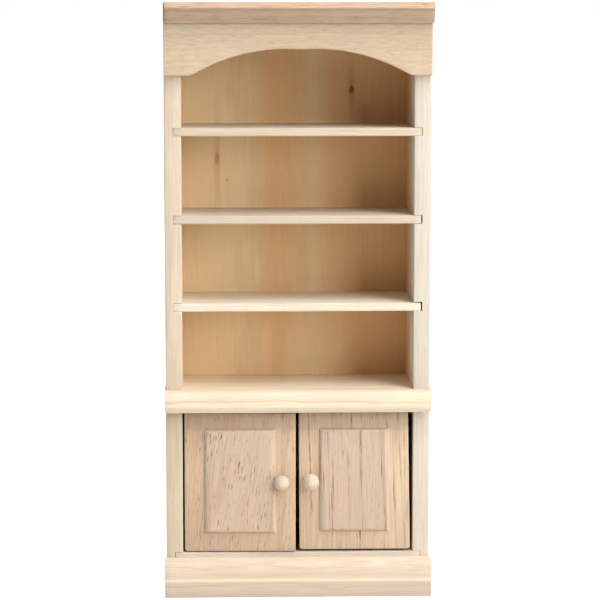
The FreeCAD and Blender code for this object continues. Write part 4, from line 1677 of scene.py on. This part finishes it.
    def build_knob(self) -> Workpiece:
        """The knob, turned from one stick: a peg, a short neck and a slightly flattened ball.

        Returns:
            The knob, shut.
        """
        node = f"knob_{self.side}"
        low, high = self.shut_box(node)
        centre = Vector(((low.x + high.x) / 2, low.y, (low.z + high.z) / 2))
        depth = high.y - low.y
        ball = self.knob_radius_mm * MM
        peg = self.peg_mm * MM
        face = self.shut_box(f"door_{self.side}")[0].y - low.y
        outline = [Vector((0.0, 0.04 * MM))]
        outline += [Vector((0.35 * ball, 0.045 * MM)), Vector((0.42 * ball, 0.12 * MM))]
        steps, first_deg, last_deg, flattened = 12, -64, 60, 0.97
        for step in range(steps + 1):
            angle = math.radians(first_deg + (last_deg - first_deg) * step / steps)
            outline.append(Vector((ball * math.cos(angle), ball + ball * math.sin(angle) * flattened)))
        neck = 0.52 * ball
        outline += [Vector((neck, face - 0.35 * MM)), Vector((neck * 1.05, face - 0.1 * MM)),
                    Vector((neck * 1.2, face)), Vector((peg, face)), Vector((peg, depth)),
                    Vector((0.0, depth))]
        bpy.ops.object.select_all(action="DESELECT")
        bpy.ops.mesh.primitive_plane_add(size=0.1 * MM, location=centre + Vector((0.0, outline[0].y, 0.0)))
        bpy.ops.object.transform_apply(location=True, rotation=True, scale=True)
        piece = Workpiece(bpy.context.active_object, f"{node}_turned")
        with piece.editing("VERT"):
            bpy.ops.mesh.select_all(action="SELECT")
            bpy.ops.mesh.merge(type="CENTER")
            for start, end in zip(outline, outline[1:]):
                step = end - start
                bpy.ops.mesh.extrude_vertices_move(TRANSFORM_OT_translate={"value": (step.x, step.y, 0.0)})
            bpy.ops.mesh.select_all(action="SELECT")
            bpy.ops.mesh.spin(steps=40, angle=FULL_TURN, center=centre, axis=(0.0, 1.0, 0.0))
        piece.close(50.0)
        piece.waver(0.03, 2.0)
        return piece

    def build(self) -> None:
        """Makes, dresses and hangs the door's three pieces."""
        self.hang(self.build_slab(), self.slab_wood, Slot.DOOR_WOOD, f"door_{self.side}")
        self.hang(self.build_field(), self.field_wood, Slot.DOOR_WOOD, f"door_panel_{self.side}")
        wood = replace(KNOB_WOOD, name=f"{KNOB_WOOD.name}_{self.side}", seed=KNOB_WOOD.seed + len(self.side))
        self.hang(self.build_knob(), wood, Slot.KNOB_WOOD, f"knob_{self.side}")


# ------------------------------------------------------------------ metal
@dataclass
class Brads:
    """The small nails that hold the back panels.

    Attributes:
        head_radius_mm: The radius of a head.
        head_mm: The height of a head.
        shank_mm: The radius of a shank.
        sink_mm: How far the heads lie below the panel's face.
        rise_mm: The height of each of the two steps of a head's dome.
        inset: The width of each step, as a share of the head's radius.
        point_mm: The length of the point.
        tilt: How far a nail may lean, in radians.
    """

    head_radius_mm: float = 0.7
    head_mm: float = 0.3
    shank_mm: float = 0.4
    sink_mm: float = 0.01
    rise_mm: tuple[float, float] = (0.06, 0.02)
    inset: float = 0.3
    point_mm: float = 0.6
    tilt: float = 0.03

    def nail(self, low: Vector, high: Vector) -> Workpiece:
        """One nail at the world's middle: a domed head over a tapered shank, along +Y.

        Args:
            low: The board's lowest corner.
            high: The board's highest corner.

        Returns:
            The nail.
        """
        back = high.y - self.sink_mm * MM
        under = high.y - self.head_mm * MM
        radius = self.head_radius_mm * MM
        shoulder = back - sum(self.rise_mm) * MM
        point = self.point_mm * MM
        piece = Workpiece.rod("nail", radius, Vector((0, under, 0)), Vector((0, shoulder, 0)), 24)
        with piece.editing("FACE"):
            piece.pick_faces(lambda centre, normal: normal.y > 0.9)
            for rise in self.rise_mm:
                bpy.ops.mesh.inset(thickness=self.inset * radius)
                bpy.ops.transform.translate(value=(0.0, rise * MM, 0.0))
            bpy.ops.mesh.select_all(action="DESELECT")
            piece.pick_faces(lambda centre, normal: normal.y < -0.9)
            bpy.ops.mesh.inset(thickness=radius - self.shank_mm * MM)
            for reach in (low.y - under + point, -point):
                bpy.ops.mesh.extrude_region_move(TRANSFORM_OT_translate={"value": (0.0, reach, 0.0)})
            bpy.ops.transform.resize(value=(0.1, 1.0, 0.1), center_override=(0.0, low.y, 0.0))
        piece.close()
        return piece

    def build(self) -> None:
        """Models one nail, copies it to each place and joins the copies into one piece."""
        low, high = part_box("back_brads")
        first = self.nail(low, high)
        dice = random.Random(5)
        copies = []
        for x, z in brad_spots():
            copy = first.thing.copy()
            copy.data = first.thing.data.copy()
            bpy.context.scene.collection.objects.link(copy)
            tilt = Matrix.Rotation(dice.uniform(-self.tilt, self.tilt), 4, "X")
            lean = tilt @ Matrix.Rotation(dice.uniform(0, 6.28), 4, "Y")
            pivot = Vector((0.0, high.y, 0.0))
            place = Matrix.Translation(Vector((x, 0.0, z)) + pivot)
            copy.matrix_world = place @ lean @ Matrix.Translation(-pivot)
            copies.append(copy)
        bpy.data.objects.remove(first.thing)
        bpy.ops.object.select_all(action="DESELECT")
        for copy in copies:
            copy.select_set(True)
        bpy.context.view_layer.objects.active = copies[0]
        bpy.ops.object.transform_apply(location=True, rotation=True, scale=True)
        bpy.ops.object.join()
        piece = Workpiece(bpy.context.active_object, "back_brad_nails")
        piece.hand_over(BRAD_STEEL.make(), Body.CASE, Slot.PIN_STEEL, "back_brads")


# ------------------------------------------------------------------ the whole bookcase
# Millimetres below, above and past the end of each board let into a side. The right side's grooves
# were cut slacker, so dark gaps show over its shelf ends.
TIGHT_GAPS = {
    "shelf_lower": (0.0, 0.10, 0.0), "shelf_middle": (0.04, 0.08, 0.0), "shelf_top": (0.0, 0.06, 0.0),
}
SLACK_GAPS = {
    "shelf_lower": (0.0, 0.30, 0.2), "shelf_middle": (0.06, 0.10, 0.12), "shelf_top": (0.0, 0.1, 0.0),
}
FLOOR_GAPS = {"bottom_board": (0.0, 0.06, 0.0)}


class Bookcase:
    """Every piece of the bookcase, in the order in which it goes together."""

    def build_case(self) -> None:
        """The boards of the case."""
        boards: list[Board] = []
        for side, inside in (("left", 1), ("right", -1)):
            upper = SLACK_GAPS if side == "right" else TIGHT_GAPS
            for part, let_in in (("lower", FLOOR_GAPS), ("upper", upper)):
                node = f"{part}_side_{side}"
                boards.append(SideBoard(node, SIDE_WOODS[node], inside=inside, let_in=let_in,
                                        panel=f"back_panel_{part}", front_arris_mm=0.35))
        boards += [Board(node, wood) for node, wood in SHELF_WOODS.items()]
        boards.append(Counter("counter_top", COUNTER_WOOD))
        boards.append(BackPanel("back_panel_upper", BACK_WOOD))
        boards.append(BackPanel("back_panel_lower", LOWER_BACK_WOOD))
        boards.append(Valance("valance", VALANCE_WOOD))
        boards.append(Crown("crown_moulding", CROWN_WOOD))
        boards.append(Base("base_moulding", BASE_WOOD))
        for board in boards:
            board.dress(board.build())

    def build_doors(self) -> None:
        """The two doors."""
        Door("left", Body.LEFT_DOOR, LEFT_DOOR_WOOD, LEFT_FIELD_WOOD, corner_mm=0.4).build()
        Door("right", Body.RIGHT_DOOR, RIGHT_DOOR_WOOD, RIGHT_FIELD_WOOD, taper_mm=0.75, foot_taper_mm=0.25,
             corner_mm=0.9, knob_radius_mm=2.45).build()

    def build_metal(self) -> None:
        """The brads, and the finish of the pins, whose plain solids are already the right shape."""
        Brads().build()
        steel = WIRE.make()
        for node, thing in frame["nodes"].items():
            if node.startswith("hinge_pin"):
                thing.data.materials.clear()
                thing.data.materials.append(steel)
                LOG.info("%s: kept from the frame, in %s", node, steel.name)


# ------------------------------------------------------------------ the studio
@dataclass(frozen=True)
class Softbox:
    """A large soft light that faces the bookcase.

    Attributes:
        name: Its name.
        turn_deg: Its direction, to the right of straight in front.
        rise_deg: Its height above level.
        size: Its width and height in metres.
        power: Its power in watts.
        away: Its distance in metres.
    """

    name: str
    turn_deg: float
    rise_deg: float
    size: tuple[float, float]
    power: float
    away: float = 1.1

    def build(self, middle: Vector) -> None:
        """Hangs the light so that it faces a point.

        Args:
            middle: The point that the light faces.
        """
        data = bpy.data.lights.new(self.name, "AREA")
        data.shape = "RECTANGLE"
        data.size, data.size_y = self.size
        data.energy = self.power
        data.color = (1.0, 0.985, 0.96)
        lamp = bpy.data.objects.new(self.name, data)
        bpy.context.scene.collection.objects.link(lamp)
        turn, rise = math.radians(self.turn_deg), math.radians(self.rise_deg)
        away = Vector((math.sin(turn) * math.cos(rise), -math.cos(turn) * math.cos(rise), math.sin(rise)))
        lamp.location = middle + away * self.away
        lamp.rotation_euler = (-away).to_track_quat("-Z", "Y").to_euler()


@dataclass
class Studio:
    """A pale table, soft lights from the upper right, weaker ones from the left and behind, and a white room.

    Attributes:
        lights: The soft lights.
        room: The brightness of the white room around.
        floor_glow: The brightness added to the floor where it is looked at, as a lightbox floor has.
        floor_m: The floor's radius in metres.
        lens_mm: The lens's focal length.
        sensor_mm: The width of the camera's sensor.
        down_deg: How far the camera looks down.
        right_deg: How far it looks to the right.
        camera_mm: Its place right of the middle, in front of the sides and above the foot.
    """

    lights: tuple[Softbox, ...] = (
        Softbox("softbox_high", 35.0, 58.0, (0.5, 0.8), 8.2),
        Softbox("softbox_middle", 35.0, 22.0, (0.4, 0.6), 4.8),
        Softbox("softbox_side", 60.0, 10.0, (0.4, 0.4), 3.8),
        Softbox("softbox_left", -60.0, 25.0, (0.7, 0.7), 1.6),
        Softbox("softbox_behind", 205.0, 35.0, (0.8, 0.8), 7.0),
    )
    room: float = 0.07
    floor_glow: float = 0.97
    floor_m: float = 30.0
    lens_mm: float = 150.0
    sensor_mm: float = 36.0
    down_deg: float = 6.667
    right_deg: float = 1.808
    camera_mm: tuple[float, float, float] = (-22.67, 738.2, 175.57)

    def build(self) -> None:
        """Sets up the floor, the lights, the room and the camera."""
        self._floor()
        middle = Vector((0.0, 0.0, (CAD_BOX[0][2] + CAD_BOX[1][2]) / 2))
        for light in self.lights:
            light.build(middle)
        self._room()
        self._camera()
        bpy.context.scene.view_settings.view_transform = "Standard"

    def _floor(self) -> None:
        """A wide pale sheet under the bookcase."""
        bpy.ops.object.select_all(action="DESELECT")
        bpy.ops.mesh.primitive_circle_add(
            vertices=64, radius=self.floor_m, fill_type="NGON", location=(0, 0, CAD_BOX[0][2]))
        floor = bpy.context.active_object
        bpy.ops.object.transform_apply(location=True, rotation=True, scale=True)
        floor.name = "floor"
        material = bpy.data.materials.new("paper_matt_white")
        material.use_nodes = True
        tree = material.node_tree
        tree.nodes.clear()
        seen = add(tree, "ShaderNodeLightPath").outputs["Is Camera Ray"]
        glow = maths(tree, "MULTIPLY", seen, self.floor_glow)
        shader = add(tree, "ShaderNodeBsdfPrincipled", {
            "Base Color": linear("#F4F2EE"), "Roughness": 0.9, "Specular IOR Level": 0.1,
            "Emission Color": linear("#FFFFFF"), "Emission Strength": glow,
        })
        add(tree, "ShaderNodeOutputMaterial", {"Surface": shader.outputs[0]})
        floor.data.materials.append(material)

    def _room(self) -> None:
        """A white room: full white where it is looked at, and a soft fill elsewhere."""
        world = bpy.data.worlds.new("white_room")
        bpy.context.scene.world = world
        world.use_nodes = True
        tree = world.node_tree
        tree.nodes.clear()
        seen = add(tree, "ShaderNodeLightPath").outputs["Is Camera Ray"]
        strength = add(tree, "ShaderNodeMapRange", {
            "Value": seen, "To Min": self.room, "To Max": 1.0,
        }).outputs[0]
        light = add(tree, "ShaderNodeBackground", {"Color": (1.0, 1.0, 1.0, 1.0), "Strength": strength})
        add(tree, "ShaderNodeOutputWorld", {"Surface": light.outputs[0]})

    def _camera(self) -> None:
        """A long lens a little left of the middle, level with the crown and looking slightly down."""
        data = bpy.data.cameras.new("camera")
        data.sensor_width = self.sensor_mm
        data.lens = self.lens_mm
        data.clip_start = 0.01
        data.clip_end = 100.0
        camera = bpy.data.objects.new("camera", data)
        bpy.context.scene.collection.objects.link(camera)
        bpy.context.scene.camera = camera
        down, right_turn = math.radians(self.down_deg), math.radians(self.right_deg)
        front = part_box("upper_side_left")[0].y
        level = math.cos(down)
        ahead = Vector((math.sin(right_turn) * level, math.cos(right_turn) * level, -math.sin(down)))
        right = Vector((math.cos(right_turn), -math.sin(right_turn), 0.0))
        up = right.cross(ahead)
        placing = Matrix((right, up, -ahead)).transposed().to_4x4()
        across, before, above = self.camera_mm
        placing.translation = Vector((across * MM, front - before * MM, CAD_BOX[0][2] + above * MM))
        camera.matrix_world = placing


def main() -> None:
    """Builds the bookcase piece by piece, then the studio."""
    logging.basicConfig(level=logging.INFO, format="%(name)s: %(message)s")
    bookcase = Bookcase()
    bookcase.build_case()
    bookcase.build_doors()
    bookcase.build_metal()
    Studio().build()


if __name__ == "__main__":
    main()
